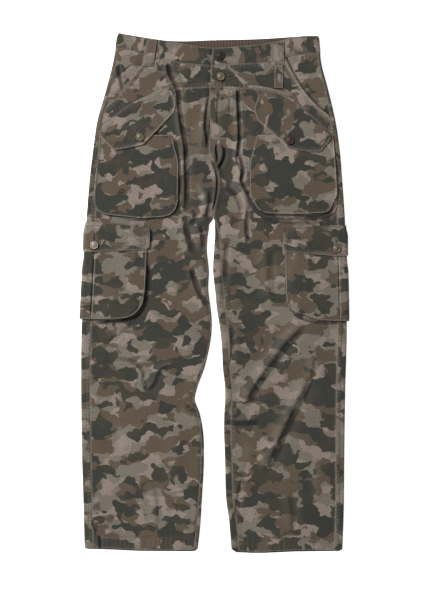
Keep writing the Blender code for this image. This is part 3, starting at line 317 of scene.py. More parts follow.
# %% [markdown]
# ## Folds
#
# Cloth that has been worn and smoothed flat keeps its folds: a crease, with cloth standing up on
# one or both sides of it. They fan out from the crotch, drag down from the hips beside the
# pockets, and break at the knees. A simulation would give folds somewhere, but not these ones
# here, so each is placed one by one, as a line and a profile across it. `right` and `left` are the
# two banks of a crease, as reach and height, seen by someone who walks down the line. A short
# reach makes a crisp bank and a long one a soft bank. `shade` is painted shade: how much darker
# the colour is made in the crease, to stand for the shadow in it. `start` is how many millimetres
# a crease takes to open, for those that come sharply out of a seam.

# %% Table of the creases
Fold = namedtuple("Fold", "shade depth right left line start", defaults=(None,))
Bank = namedtuple("Bank", "reach height")
FOLDS = [Fold(shade, depth, Bank(*right), Bank(*left), drawn(path, 5), *start)
         for shade, depth, right, left, path, *start in (
    # drag lines from the waist, beside the right pocket, the fly and the left pocket
    (0.85, 3.0, (5.2, 2.4), (7, 1.8), (
        (-93, 459), (-90, 438), (-82, 421), (-74, 404), (-71, 377), (-67, 344), (-63, 317),
        (-59, 296), (-57, 253), (-56, 210), (-57, 177), (-61, 150)), 6),
    (0.35, 1.5, (9, 1.8), (10, 1.6), ((-62, 158), (-53, 118), (-36, 72))),
    (0.8, 2.8, (5, 1.8), (4, 1.8), (
        (-10, 410), (-12, 384), (-15, 366), (-17, 348), (-18, 329), (-15, 312), (-14, 286)), 50),
    (0.95, 2.9, (5, 2.6), (5, 2.0), (
        (47, 406), (48, 378), (49, 354), (50, 302), (48, 281), (54, 262), (57, 238), (54, 228),
        (60, 210), (68, 196), (78, 166)), 4),
    (0.5, 2.2, (4, 1.6), (5, 1.0), ((46, 281), (45, 265), (53, 246), (56, 232))),
    (0.85, 1.8, (7, 2.0), (5, 1.4), ((70, 168), (67, 150), (65, 134), (67, 112), (68, 92))),
    # the tangle where the fly ends, and the crease down to the crotch
    (0.95, 2.8, (4, 1.4), (3.5, 3.4), (
        (-6, 268), (-1, 256), (4, 240), (6, 224), (6, 210), (4, 192), (1, 178), (-4, 156)), 12),
    (0.9, 2.4, (3.5, 3.4), (5, 1.4), ((16, 294), (20, 282), (19, 270), (12, 256), (7, 246))),
    (0.6, 2.0, (3, 1.4), (3, 2.6), ((5, 298), (3, 286), (6, 272), (5, 258))),
    (0.4, 1.8, (6, 1.0), (8, 2.6), ((24, 209), (40, 196), (50, 180), (54, 160))),
    (0.5, 1.8, (7, 1.6), (6, 1.4), ((-10, 204), (-8, 186), (-11, 168), (-17, 146))),
    (0.6, 1.8, (7, 1.8), (6, 1.0), ((-36, 158), (-42, 142), (-50, 134))),
    (0.7, 1.8, (7, 1.4), (5, 1.0), ((-28, 134), (-23, 112), (-21, 86))),
    (0.3, 1.2, (6, 1.2), (5, 0.8), ((-51, 276), (-50, 262), (-52, 250))),
    (0.3, 1.4, (4, 0.8), (4, 0.8), ((10, 404), (7, 380), (6, 352), (6, 330)), 6),
    (0.2, 1.0, (4, 0.6), (4, 0.6), ((30, 404), (31, 380), (30, 356)), 6),
    # down the thighs
    (0.85, 2.1, (6, 1.0), (8, 2.4), ((-48, 52), (-42, 30), (-33, 4), (-23, -14), (-9, -32))),
    (0.5, 1.5, (8, 1.4), (8, 1.2), ((-57, 132), (-51, 104), (-44, 78))),
    (0.5, 1.7, (10, 1.4), (6, 1.4), (
        (26, 108), (25, 84), (24, 54), (20, 20), (17, -8), (16, -30))),
    (0.3, 1.2, (11, 1.6), (12, 1.4), ((113, 88), (112, 50), (114, 15), (121, -12))),
    # shallow creases where a pocket's edge presses on the leg, with painted shadow under the edge
    (0.95, 0.9, (4.5, 0.2), (4.5, 0.2), (
        (-132, 60), (-133, 20), (-140, -9), (-154, -33), (-178, -51), (-206, -59),
        (-250, -59)), 10),
    (0.7, 0.7, (3, 0.2), (3, 0.2), (
        (146, -12), (158, -38), (184, -56), (214, -62), (250, -62)), 10),
    (0.6, 0.7, (2.6, 0.2), (2.2, 0.2), (
        (-79, 310), (-69, 262), (-70, 200), (-78, 178), (-102, 158), (-132, 146), (-170, 145),
        (-210, 156)), 10),
    (0.6, 0.7, (2.6, 0.2), (2.2, 0.2), ((72, 196), (92, 158), (118, 143), (190, 141)), 10),
    # breaks at the right knee
    (0.45, 1.4, (4, 1.4), (8, 1.0), (
        (-202, -134), (-186, -135), (-170, -138), (-156, -145), (-146, -155), (-138, -170))),
    (0.45, 1.5, (6, 1.6), (7, 0.9), (
        (-76, -152), (-92, -150), (-104, -156), (-112, -166), (-118, -184), (-134, -200))),
    (0.35, 1.3, (6, 1.2), (6, 1.8), ((-139, -156), (-141, -176), (-136, -196))),
    (0.3, 1.2, (9, 1.4), (9, 1.2), ((-160, -60), (-176, -76), (-192, -88), (-212, -97))),
    (0.3, 1.2, (8, 1.4), (8, 1.0), ((-60, -224), (-46, -236), (-30, -246))),
    (0.3, 1.2, (6, 1.0), (8, 1.2), ((-50, -196), (-38, -203), (-28, -204))),
    # long diagonals at the left knee
    (0.75, 1.9, (11, 3.6), (13, 0.8), (
        (189, -62), (172, -80), (155, -97), (137, -118), (123, -138), (105, -162), (86, -190),
        (72, -216), (65, -238))),
    (0.75, 1.9, (11, 3.4), (13, 0.8), (
        (197, -166), (187, -190), (174, -216), (158, -247), (142, -281), (128, -312), (112, -344),
        (98, -366))),
    (0.75, 1.7, (6, 0.8), (9, 2.8), ((22, -258), (42, -262), (62, -263), (92, -258)), 6),
    (0.35, 1.2, (6, 1.0), (6, 1.0), ((54, -236), (46, -248), (28, -250))),
    (0.25, 1.2, (8, 2.0), (9, 0.8), ((205, -130), (201, -152), (196, -176))),
    (0.4, 1.4, (5, 1.2), (6, 1.4), ((31, -62), (35, -90), (36, -116), (31, -150))),
    (0.3, 1.2, (6, 1.2), (7, 1.4), ((58, -370), (50, -398), (46, -424), (44, -452))),
    # small ones at the hems
    (0.7, 1.3, (2.4, 0.8), (3, 1.0), ((-241, -452), (-244, -464), (-240, -472), (-235, -482)), 5),
    (0.95, 1.8, (4.6, 0.6), (4.2, 1.0), ((-230, -484), (-229, -498), (-228, -516)), 6),
    (0.2, 1.0, (8, 1.0), (8, 1.0), ((-120, -380), (-112, -420), (-110, -470))),
    (0.2, 1.0, (9, 1.0), (9, 1.0), ((150, -400), (158, -440), (160, -476))),
    # the hollow in the right pocket facing
    (0.65, 2.2, (7, 1.4), (3.5, 1.4), ((-192, 457), (-190, 440), (-185, 420), (-181, 402))),
)]
print("creases placed by hand:", len(FOLDS))

# %% Table of the free crests
Ridge = namedtuple("Ridge", "height reach line")
RIDGES = [Ridge(height, reach, drawn(path, 5)) for height, reach, path in (
    (4.2, 8, ((-42, 222), (-30, 210), (-20, 194), (-18, 176), (-21, 154), (-26, 132))),
    (4.4, 8, ((26, 226), (42, 216), (54, 200), (61, 180), (66, 158))),
    (3.2, 4, ((-4, 304), (0, 288), (-2, 272), (3, 254), (10, 236), (16, 214))),
    (2.8, 3, ((9, 298), (12, 288), (13, 276), (9, 262))),
    (2.0, 9, ((12, 306), (2, 302), (-8, 304))),
    (1.6, 6, ((36, 394), (37, 366), (36, 338))),
    (1.8, 6, ((-66, 300), (-66, 262), (-67, 224))),
    (1.6, 12, ((-30, 350), (-32, 300), (-36, 250))),
    (1.5, 14, ((80, -300), (60, -330), (54, -360))),
    (1.4, 12, ((-200, -250), (-180, -290), (-176, -330))),
    (1.3, 14, ((-90, -280), (-84, -330), (-90, -380))),
    (1.3, 12, ((210, -330), (204, -370), (206, -420))),
    (1.2, 12, ((150, 60), (146, 30), (150, 0))),
)]
print("crests placed by hand:", len(RIDGES))

# %% [markdown]
# ## Two levels: the back and the front
#
# Everything in this garment lies on one of two levels. The back panel rests on the floor, except
# where a belt loop or a cargo pocket underneath holds it up. The front lies a few millimetres
# higher, and stands up a little more along the rounded side folds. On top of that come the
# folds, a faint waviness, and the small puckers that stitching pulls into the cloth beside every
# seam. Writing this as one function of x and y keeps all the layers in step: a pocket takes the
# same function and adds its own thickness, so it never sinks into the panel under it.

# %% Sizes of the folded tube
HIP_STACK, LEG_STACK = 6.4, 4.9      # front surface above the back surface
HIP_SIDE, LEG_SIDE = 6.8, 6.2        # height of the rounded side fold
CROTCH_FOLD = 1.7
LEAST_STACK = 3.35                   # so that the deepest crease stays above the back
SIDE_SPREAD = 16.0                   # how far in the rounded sides raise the front
WAIST_LIFT = 1.9                     # the belt loops hold the waist up by this
LIFT_REACH, LIFT_RAMP = 92.0, 28.0   # how far in a cargo pocket holds the back up, and the ramp

Cargo = namedtuple("Cargo", "middle half_width mouth_y bottom_y corner flap_half flap_top "
                            "flap_end_top flap_bottom flap_end_bottom")
CARGO = {
    RIGHT: Cargo(17, 107, 118, -54, 56, 111, 142, 129, 80.5, 86),
    LEFT: Cargo(16, 106, 112, -58, 56, 108, 135, 128, 72, 81),
}
SEAT = 0.5
CARGO_BACK, CARGO_MOUTH, CARGO_HEIGHT = 2.4, 3.0, 5.2
FLAP_SEAT = SEAT + FLAP_CLOTH
FLAP_OVER = CARGO_MOUTH + LAYER_GAP + FLAP_CLOTH
FLAP_BACK = CARGO_BACK + LAYER_GAP + FLAP_CLOTH


def side_radius(y):
    """Radius of the rounded fold at a leg's outer side."""
    return (LEG_SIDE + (HIP_SIDE - LEG_SIDE) * ease((np.asarray(y) - 150) / 120)) / 2


def inner_radius(y):
    """Radius of the fold at a leg's inner side, smallest at the crotch."""
    return CROTCH_FOLD + (LEG_SIDE / 2 - CROTCH_FOLD) * ease((CROTCH_Y - np.asarray(y)) / 60)


def lift(x, y):
    """How far the back panel is held up, by the loops at the waist and by the cargo pockets."""
    rise = WAIST_LIFT * ease((y - 412) / 34)
    for side in SIDES:
        cargo = CARGO[side]
        from_edge = side.sign * (outer_edge[side](y) - x)
        at_side = 1 - ease((from_edge - LIFT_REACH) / LIFT_RAMP)
        above = ease((cargo.flap_top + LIFT_RAMP + 4 - y) / LIFT_RAMP)
        under_pocket = above * ease((y - cargo.bottom_y + LIFT_RAMP + 2) / LIFT_RAMP)
        under_flap = above * ease((y - cargo.flap_bottom + LIFT_RAMP + 2) / LIFT_RAMP)
        rise = rise + at_side * (CARGO_BACK * under_pocket + (FLAP_BACK - CARGO_BACK) * under_flap)
    return rise


print("side fold", LEG_SIDE, "mm high, back held up", round(float(lift(-250.0, 100.0)), 2), "mm")

# %% Folds and waviness
WAVES = np.random.default_rng(11).uniform(0, 1, (30, 4))
WAVE_HEIGHT = 0.13
NEAR_END = 0.16     # share of a fold over which it opens and dies away
# How far into a wide bank the painted shade of a crease reaches
DARK_REACH = 7.5    # a wide bank isn't dark further out than this
DIES_AWAY = 3.4     # a fold is level this many banks out


def waviness(x, y):
    """The faint unevenness of washed cloth: thirty ripples in all directions, long and short."""
    height = np.zeros(np.shape(x))
    for i, (length, way, start, size) in enumerate(WAVES):
        length = 26 + 70 * length if i % 2 else 11 + 18 * length
        way = math.pi * way
        height += (0.4 + size) * length / 90 * np.sin(
            2 * math.pi * ((x * math.cos(way) + y * math.sin(way)) / length + start)
            + 1.3 * np.sin((x - y) / 37 + 5 * start))
    return WAVE_HEIGHT * height


test_x, test_y = np.mgrid[-200.0:200:20, -400.0:400:20]
print("waviness up to", round(float(waviness(test_x, test_y).max()), 2), "mm")


# %% Height of the folds
def near_each(things, room, x, y):
    """For each fold or seam that is near enough to matter: which points are near it, and what
    `nearest_on` says of them."""
    for thing in things:
        line, reach = thing.line, room(thing)
        near = ((x > line[:, 0].min() - reach) & (x < line[:, 0].max() + reach)
                & (y > line[:, 1].min() - reach) & (y < line[:, 1].max() + reach))
        if near.any():
            yield thing, near, *nearest_on(line, x[near], y[near])


def relief(x, y):
    """Height of the folds, and the painted shade of their creases."""
    height, shade = np.zeros(np.shape(x)), np.zeros(np.shape(x))
    for fold, near, gap, way, along, length in near_each(
            FOLDS, lambda fold: DIES_AWAY * max(fold.right.reach, fold.left.reach), x, y):
        start = fold.start or NEAR_END * length
        fade = ease(along / start) * ease((length - along) / (NEAR_END * length))
        reach = np.where(way < 0, fold.right.reach, fold.left.reach)
        bank = np.where(way < 0, fold.right.height, fold.left.height)
        t = gap / reach
        rising = -fold.depth + (bank + fold.depth) * ease(t) ** 1.15
        beyond = bank * (1 - ease((t - 1) / 2.2))
        height[near] += fade * np.where(t < 1, rising, beyond)
        # Painted shade: the crease's colour is darkened to stand for its shadow, fading towards
        # the banks
        dark = 1 - ease((gap / np.minimum(reach, DARK_REACH) - 0.58) / 0.36)
        dark *= 0.85 + 0.15 * np.sin(along / 9.0 + length)
        shade[near] = np.maximum(shade[near], fade * fold.shade * dark)
    for ridge, near, gap, _, along, length in near_each(
            RIDGES, lambda ridge: 2 * ridge.reach, x, y):
        fade = ease(np.minimum(along, length - along) / (0.3 * length))
        crest = np.clip(1 - (gap / (1.4 * ridge.reach)) ** 2, 0, 1) ** 2
        height[near] += fade * ridge.height * crest
    return height, shade


def fold_rows(side):
    """Rows of points along the folds, as pattern places, so that the mesh has their form."""
    rows = []
    for fold in FOLDS:
        line = resampled(fold.line, 2.6)
        normal = normals(line)
        for share in (-1.0, -0.66, -0.33, 0.0, 0.33, 0.66, 1.0):
            reach = fold.left.reach if share > 0 else fold.right.reach
            row = line + normal * share * reach
            rows.append(on_front(side, row[row[:, 0] * side.sign > -12]))
    return rows


test_x, test_y = np.array([-57.0, -45.0]), np.array([253.0, 253.0])
print("crease and bank beside the right hip pocket:", relief(test_x, test_y)[0].round(2), "mm")

# %% Seams and the puckers beside them
# `way` is the side of the line that the doubled cloth lies on, `pitch` the distance of its
# puckers and `slant` their lean, `mark` how strongly washing has marked them and `light` how pale
# the whole band is.
Seam = namedtuple("Seam", "line way width rise pitch mark light slant", defaults=(1.0, 0.0, 0.3))
SEAMS = []
PUCKER_HEIGHT = 0.24


def along_seams(x, y):
    """For each seam that is near: which points are near it, how far across and along it they are,
    where its doubled cloth ends, and the puckers, from -1 to 1."""
    for seam, near, gap, way, along, _ in near_each(SEAMS, lambda seam: 3 * seam.width, x, y):
        across = gap * way * seam.way
        within = 1 - ease((across - seam.width + 0.6) / 2.0)
        pucker = np.sin(2 * math.pi * (along + seam.slant * across) / seam.pitch
                        + np.sin(along / 11) + np.sin(along / 31))
        yield seam, near, across, along, within, pucker


def seam_relief(x, y):
    """Doubled cloth beside the seams, pulled into small slanting ripples by the stitching."""
    height = np.zeros(np.shape(x))
    for seam, near, across, along, within, pucker in along_seams(x, y):
        band = ease((across + 0.8) / 1.4) * within
        uneven = 0.55 + 0.45 * np.sin(along / 23.0) * np.sin(along / 7.1 + 1)
        spread = bell((across - seam.width / 2) / min(0.8 * seam.width, 10))
        height[near] += band * seam.rise + PUCKER_HEIGHT * uneven * spread * pucker
    return height


def roping(x, y):
    """Pale and dark dashes that washing leaves along a puckered seam, from -1 to 1."""
    dashes = np.zeros(np.shape(x))
    for seam, near, across, along, within, pucker in along_seams(x, y):
        band = ease((across + 1) / 1.5) * within
        uneven = 0.5 + 0.5 * np.sin(along / 19.0 + 2) * np.sin(along / 7.1 + 1)
        dashes[near] += band * (seam.mark * uneven * (0.4 * pucker + 0.06)
                                + seam.light * (0.8 + 0.2 * pucker))
    return dashes


print("a seam without columns of its own:", Seam._field_defaults)


# %% The front's surface
def front(x, y):
    """Height of the front's outer surface."""
    stack = LEG_STACK + (HIP_STACK - LEG_STACK) * ease((y - 60) / 170)
    height = stack
    calm = np.ones(np.shape(x))
    for side in SIDES:
        radius = side_radius(y)
        from_edge = side.sign * (outer_edge[side](y) - x)
        near = bell(np.maximum(from_edge - radius, 0) / SIDE_SPREAD)
        height = height + (2 * radius - stack) * near
        calm = calm * ease((from_edge - radius) / 14)
        radius = inner_radius(y)
        from_edge = side.sign * (x - inner_edge[side](y))
        below = np.maximum(from_edge - radius, 0)
        gap = np.where(y < CROTCH_Y, below, np.hypot(x - CROTCH_X, y - CROTCH_Y))
        own = np.where(y < CROTCH_Y, from_edge > -1.0, side.sign * (x - CROTCH_X) >= 0)
        near = bell(gap / SIDE_SPREAD)
        height = height + np.where(own, (2 * radius - stack) * near, 0)
        calm = calm * np.where(own & (y < CROTCH_Y), ease(below / 12), 1)
    calm = calm * (1 - 0.85 * ease((y - waist_y(x) + 3) / 4))
    height = height + (relief(x, y)[0] + waviness(x, y)) * calm + seam_relief(x, y)
    return lift(x, y) + np.maximum(height, LEAST_STACK)


print("height of the front at the same two places:", front(test_x, test_y).round(2), "mm")

# %% [markdown]
# ## Laying a pattern round a leg
#
# A pattern piece is cut flat and then goes round the body. We do the same. A place on the cloth
# is `a`, measured round the leg from the start of the flat back, and `y`, measured up the leg.
# `laid` turns that into a point in space: below zero `a` runs round the side fold and over the
# front, and past the inner side it goes round the inner fold. The same `a` and `y`, in metres,
# later become the cloth's UV map, so the printed pattern is never stretched.

# %% Lay cloth round a leg
def laid(side, a, y, height, thickness):
    """Outer and inner points of cloth round a leg, at a height above the leg's own surface."""
    a, y = np.asarray(a, float), np.asarray(y, float)
    height = np.broadcast_to(np.asarray(height, float), a.shape)
    radius, small = side_radius(y), inner_radius(y)
    outer_x, inner_x = outer_edge[side](y), inner_edge[side](y)
    flat = np.where(y < CROTCH_Y, np.abs(inner_x - outer_x) - radius - small, 1e6)
    inward = -side.sign
    zone = np.select(
        [a < -math.pi * radius, a < 0, a <= flat, a <= flat + math.pi * small], range(4), 4)
    ahead, turning, behind, bending, past = [zone == i for i in range(5)]

    from_edge = np.select(
        [ahead, turning, behind, bending],
        [radius - a - math.pi * radius, radius, radius + a, radius + flat],
        radius + flat - (a - flat - math.pi * small))
    x = outer_x + inward * from_edge
    level = np.zeros(a.shape)
    top = ahead | past
    level[top] = front(x[top], y[top])
    level[~top] = lift(x[~top], y[~top])
    resting = np.maximum(level - height, 0)
    turn = np.clip(np.where(turning, -a / radius, (a - flat) / small), 0, math.pi)
    bow = np.where(turning, radius, small)

    def place(offset, up):
        out = np.select([turning, bending], [-(bow + offset) * np.sin(turn),
                                             (bow + offset) * np.sin(turn)], 0)
        settled = np.where(turning, (resting + height - level) * (1 + np.cos(turn)) / 2, 0)
        z = np.select(
            [top, behind],
            [level + offset, resting + up],
            level + bow - (bow + offset) * np.cos(turn) + settled)
        return np.stack([x + inward * out, y, z], axis=-1)

    return place(height, 0.0), place(height - thickness, thickness)


point, _ = laid(RIGHT, np.array([-5.0]), np.array([0.0]), 0.0, CLOTH)
print("half way round the right side fold:", point.round(2))


# %% Between places on the plan and places on the cloth
def across_side(side, x, y):
    """Pattern place of a point of the front."""
    radius = side_radius(y)
    return -(math.pi * radius + side.sign * (outer_edge[side](y) - x) - radius)


def across_back(side, x, y):
    """Pattern place of a point of the back."""
    return side.sign * (outer_edge[side](y) - x) - side_radius(y)


def plan_x(side, a, y):
    """Where a pattern place of the front lies across the garment."""
    radius = side_radius(y)
    return outer_edge[side](y) - side.sign * (radius - a - math.pi * radius)


def on_front(side, plan):
    """Plan points of the front as pattern places."""
    x, y = np.array(plan, float).T
    return paired(across_side(side, x, y), y)


def on_back(side, plan):
    """Plan points of the back as pattern places."""
    x, y = np.array(plan, float).T
    return paired(across_back(side, x, y), y)


print("the right leg's side edge on the cloth:", on_front(RIGHT, [(-262, 5)]).round(1))

# %% [markdown]
# ## Seams as shared lines
#
# Two pieces that are sewn together share a line. Each seam is worked out once, as pattern
# places, and both pieces are cut along it. `between` and `down` take the stretch that a piece
# needs, and `meeting` finds where two seams cross.

# %% Lines that run down a leg
def fold_place(side, share, y):
    """A line along the side fold: share 0 is at the back, 1 at the front."""
    return -math.pi * side_radius(y) * share


def inner_place(side, share, y):
    """A line along the inner fold: share 0 is at the back, 1 at the front."""
    small = inner_radius(y)
    flat = np.abs(inner_edge[side](y) - outer_edge[side](y)) - side_radius(y) - small
    return flat + math.pi * small * share


def seam_place(side, y):
    """The side seam."""
    return -(math.pi * side_radius(y) + side_seam[side](y))


def front_inseam(side, y):
    """The inseam's place on the front."""
    x = inner_edge[side](y) + side.sign * (inner_radius(y) + inseam[side](y))
    return across_side(side, x, y)


def back_inseam(side, y):
    """The inseam's place on the back, past the inner fold."""
    return inner_place(side, 1, y) + inseam[side](y)


def down(side, place, top, bottom, step=LINE_STEP):
    """The part of a seam that runs down a leg, from one height to another."""
    y = np.linspace(top, bottom, max(2, int((top - bottom) / step) + 1))
    return paired(place(side, y), y)


print("places round the right knee:", [
    round(float(place(RIGHT, -150.0))) for place in (front_inseam, seam_place, back_inseam)])

# %% Lines that run round the waist and the hems
FOLD_STEPS = 8


def round_the_side(side, ahead, behind):
    """A line that runs across the front, round the side fold and across the back."""
    ahead, behind = drawn(ahead), drawn(behind)
    fold_x = outer_edge[side](490) - side.sign * HIP_SIDE / 2
    high, low = [np.interp(fold_x, line[:, 0], line[:, 1]) for line in (ahead, behind)]
    ahead = on_front(side, ahead[ahead[:, 0] * side.sign > -40])
    behind = on_back(side, behind[behind[:, 0] * side.sign > 1])
    ahead = ahead[ahead[:, 0] < fold_place(side, 1, ahead[:, 1]) - 2]
    behind = behind[behind[:, 0] > 2]
    ahead = ahead[np.argsort(ahead[:, 0])]
    behind = behind[np.argsort(behind[:, 0])]
    shares = np.linspace(1, 0, FOLD_STEPS + 1)
    turn = [(fold_place(side, share, high), low + (high - low) * share) for share in shares]
    end_y = behind[-1, 1]
    return np.vstack([ahead, turn, behind, [(across_back(side, 0, end_y), end_y)]])


def waist_line(side):
    """The waistband's lower seam, from the fly round the side to the middle of the back."""
    return round_the_side(side, WAIST_SEAM, BACK_WAIST_SEAM)


def hem_line(side):
    """The hem all round a leg, from the inseam on the front to the inseam on the back."""
    a = np.arange(front_inseam(side, HEM_Y), back_inseam(side, HEM_Y) + LINE_STEP, LINE_STEP)
    x = laid(side, a, np.full(len(a), HEM_Y), 0.0, CLOTH)[0][:, 0]
    places = np.array(HEM[side], float)
    return paired(a, np.interp(x, places[:, 0], places[:, 1]))


def height_on(line, place):
    """The y of a seam that runs across, at a place round the leg."""
    return float(np.interp(place, line[:, 0], line[:, 1]))


def between(line, start, end):
    """The part of a seam from one place to another."""
    line = line[np.argsort(line[:, 0])]
    low, high = min(start, end), max(start, end)
    own = line[(line[:, 0] > low + 0.8) & (line[:, 0] < high - 0.8)]
    part = np.vstack([[(low, height_on(line, low))], own, [(high, height_on(line, high))]])
    return part if start < end else part[::-1]


print("points round each half of the waist:", [len(waist_line(side)) for side in SIDES])


# %% Where seams meet
def meeting(place, line, high, low):
    """The y at which a seam that runs down meets a seam that runs across."""
    line = line[np.argsort(line[:, 0])]
    for _ in range(40):
        middle = (high + low) / 2
        if middle > height_on(line, place(middle)):
            high = middle
        else:
            low = middle
    return (high + low) / 2


def on_side_seam(side, line, high=500, low=440):
    """The y at which the side seam meets a seam that runs across."""
    return meeting(lambda y: seam_place(side, y), line, high, low)


def yoke_end(side):
    """The yoke's lower seam, and where it meets the side seam."""
    line = on_front(side, drawn(YOKE_SEAM[side]))
    return line, on_side_seam(side, line, 420, 250)


print("the right yoke meets the side seam at y =", round(yoke_end(RIGHT)[1], 1))

# %% Seam by seam, where the stitching puckers the cloth
def seam_on_plan(side, place, top, bottom):
    """A seam that runs down, as plan points."""
    a, y = down(side, place, top, bottom, 8).T
    return paired(plan_x(side, a, y), y)


for side in SIDES:
    side_line = seam_on_plan(side, seam_place, 480, -510)
    yoke_line = drawn(YOKE_SEAM[side], 6)
    at_flap = np.abs(yoke_line[:, 0]) > 92
    SEAMS += [Seam(side_line, side.sign, 7, 0.7, 6.2, 1.5),
              Seam(yoke_line[~at_flap], side.sign, 7.5, 0.7, 7.5),
              Seam(yoke_line[at_flap], side.sign, 7.5, 0.3, 7.5, 0.35)]
SEAMS += [Seam(drawn(SLANT[RIGHT], 6), 1, 7, 0.4, 8, 0.6, 0.16),
          Seam(drawn(SLANT[LEFT], 6), -1, 6.5, 1.3, 5.5, 0.4, 0.95),
          Seam(drawn(((74, 407), (98, 404), (142, 393)), 6), 1, 7, 1.1, 5.5, 0.4, 0.75)]
for ends in ((-252, -40), (40, 252)):
    hem_stitching = np.array([(x, -489.5 - 0.01 * x) for x in np.linspace(*ends, 40)])
    SEAMS.append(Seam(hem_stitching, -1, 24, 0.4, 9.0, 0.34, 0.0, 0.05))
SEAMS += [Seam(drawn(WAIST_SEAM, 6), -1, 7, 0.5, 7.5),
          Seam(seam_on_plan(LEFT, front_inseam, 90, -500), 1, 7, 0.6, 8),
          Seam(drawn(RISE_SEAM, 6), 1, 6, 0.5, 7)]
print("sewn seams:", len(SEAMS))

# %% [markdown]
# ## Painted shadows and rubbed edges
#
# Where one edge lies on another, the cloth beneath gets a painted shadow, a darker colour for
# the shade under the edge, and the edge on top is rubbed pale. Such a mark is a line, how dark or
# pale it is, how far it reaches, and the names of the pieces that carry it.

# %% Loops and buttons, which leave marks
Strip = namedtuple("Strip", "top_x top_y bottom_x bottom_y width")
FRONT_LOOPS = {
    RIGHT: Strip(-124.5, 506, -132, 453, 20),
    LEFT: Strip(128.5, 501, 128.5, 453, 20),
}
YOKE_TAB = Strip(128.3, 452.4, 128.3, 409, 18)
Button = namedtuple("Button", "piece hole_start hole_end tone")
BUTTONS = {
    "button_waist": Button("waistband_left", (23, 474), (40, 474.5), "dark"),
    "button_yoke": Button("yoke_left", (21, 428.5), (41, 434.5), "olive"),
    "button_hip_right": Button("hip_flap_right", (-161, 333), (-152.5, 318), "olive"),
    "button_hip_left": Button("hip_flap_left", (139, 321), (146, 310), "brown"),
    "button_cargo_right": Button("cargo_flap_right", (-240.5, 118), (-240, 102), "pale"),
    "button_cargo_left": Button("cargo_flap_left", (243, 110), (243.5, 95), "olive"),
}


def seat_of(name):
    """Middle of the underside of a solid's box, in metres."""
    low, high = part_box(name)
    return (low[0] + high[0]) / 2, (low[1] + high[1]) / 2, low[2]


WAIST_BUTTON = (11.2, 473.0)    # where the tables have it, which gives their shift to the frame
seat = seat_of("button_waist")
SHIFT = np.array([seat[0] / MM - WAIST_BUTTON[0], seat[1] / MM - WAIST_BUTTON[1], 0.0])
print("shift from the tables to the frame:", SHIFT.round(2), "mm")

# %% Table of the marks
# `dark` is the strength of the painted shadow along a line, `light` how pale its edge is rubbed
Mark = namedtuple("Mark", "line dark light reach pieces")
fly_y = np.arange(306.0, 492, 3)
FLY_LINE = paired(fly_edge(fly_y), fly_y)
SHADOW_AND_WEAR_LINES = [
    Mark(drawn(HEM[RIGHT][2:-2]), 0, 0.85, 1.3, ("front_right",)),
    Mark(drawn(HEM[LEFT][3:-2]), 0, 0.85, 1.3, ("front_left",)),
    Mark(FLY_LINE, 0.85, 0, 1.3, ("waistband_right", "yoke_right", "front_right")),
    Mark(FLY_LINE, 0, 0.85, 1.2, ("yoke_left", "front_left")),
    Mark(drawn(((-3, 489.5), (-7, 455))), 0, 0.85, 1.5, ("waistband_left",)),
    Mark(drawn(SLANT[RIGHT]), 0.45, 0, 1.5, ("pocket_facing_right",)),
    Mark(drawn(SLANT[RIGHT]), 0, 0.85, 1.4, ("yoke_right",)),
    Mark(drawn(SLANT[LEFT]), 0.95, 0, 2.8, ("pocket_facing_left",)),
    Mark(drawn(((79, 372), (80, 358), (88, 344), (115, 320), (145, 292))),
         0, 0.85, 1.6, ("hip_flap_left",)),
    Mark(drawn(((-131, 45), (-131, 22), (-133, -4), (-137, -23), (-150, -43), (-177, -57),
                (-202, -59))), 0.95, 0, 3.0, ("front_right",)),
    Mark(drawn(((94, 163), (101, 157), (115, 154.5), (160, 154), (215, 154.5), (232, 161),
                (243, 177), (247, 192))), 0.95, 0, 1.9, ("hip_pocket_left",)),
    Mark(drawn(((100, 144), (130, 139), (190, 138), (226, 142))), 0.4, 0, 2.6, ("front_left",)),
    Mark(drawn(((158, -43), (168, -49), (184, -54), (206, -57))),
         0.65, 0, 2.8, ("cargo_pocket_left",)),
]


def paint_shadow_beside_strip(strip, pieces):
    """A painted shadow along the right-hand side and the lower end of a narrow strip."""
    half = strip.width / 2 + 0.6
    corners = ((strip.top_x + half, strip.top_y), (strip.bottom_x + half, strip.bottom_y - 0.6),
               (strip.bottom_x - half, strip.bottom_y - 0.6))
    SHADOW_AND_WEAR_LINES.append(Mark(resampled(np.array(corners), 2.0), 0.9, 0, 1.4, pieces))


def paint_shadow_round_button(name):
    """A painted shadow round a button, a little more on the side away from the light."""
    x, y = [seat_of(name)[i] / MM - SHIFT[i] + way * 0.6 for i, way in enumerate((1, -1))]
    turn = np.linspace(0, 2 * math.pi, 36)
    circle = paired(x + 8.3 * np.cos(turn), y + 8.3 * np.sin(turn))
    SHADOW_AND_WEAR_LINES.append(Mark(circle, 0.8, 0, 1.5, (BUTTONS[name].piece,)))


paint_shadow_beside_strip(FRONT_LOOPS[RIGHT], ("waistband_right", "yoke_right"))
paint_shadow_beside_strip(FRONT_LOOPS[LEFT], ("waistband_left",))
paint_shadow_beside_strip(YOKE_TAB, ("yoke_left",))
for name in BUTTONS:
    paint_shadow_round_button(name)
print("marks:", len(SHADOW_AND_WEAR_LINES))

# %% [markdown]
# ## Cutting cloth
#
# To cut a piece, its outline is filled with evenly spaced points and joined into triangles with
# `delaunay_2d_cdt`, which Blender gives to scripts. Triangles bend in any direction, so folds
# look soft whichever way they run; a grid of quads would show its own direction. Two extra rings
# of points just inside the outline let the cut edge roll over, as a turned and pressed edge does.
# The flat piece is then laid twice, for its outer and inner face, and closed round the rim.

# %% Cutting helpers
def area_of(outline):
    """Area inside a closed outline, positive if it runs anticlockwise."""
    x, y = outline.T
    return np.sum(x * np.roll(y, -1) - y * np.roll(x, -1)) / 2


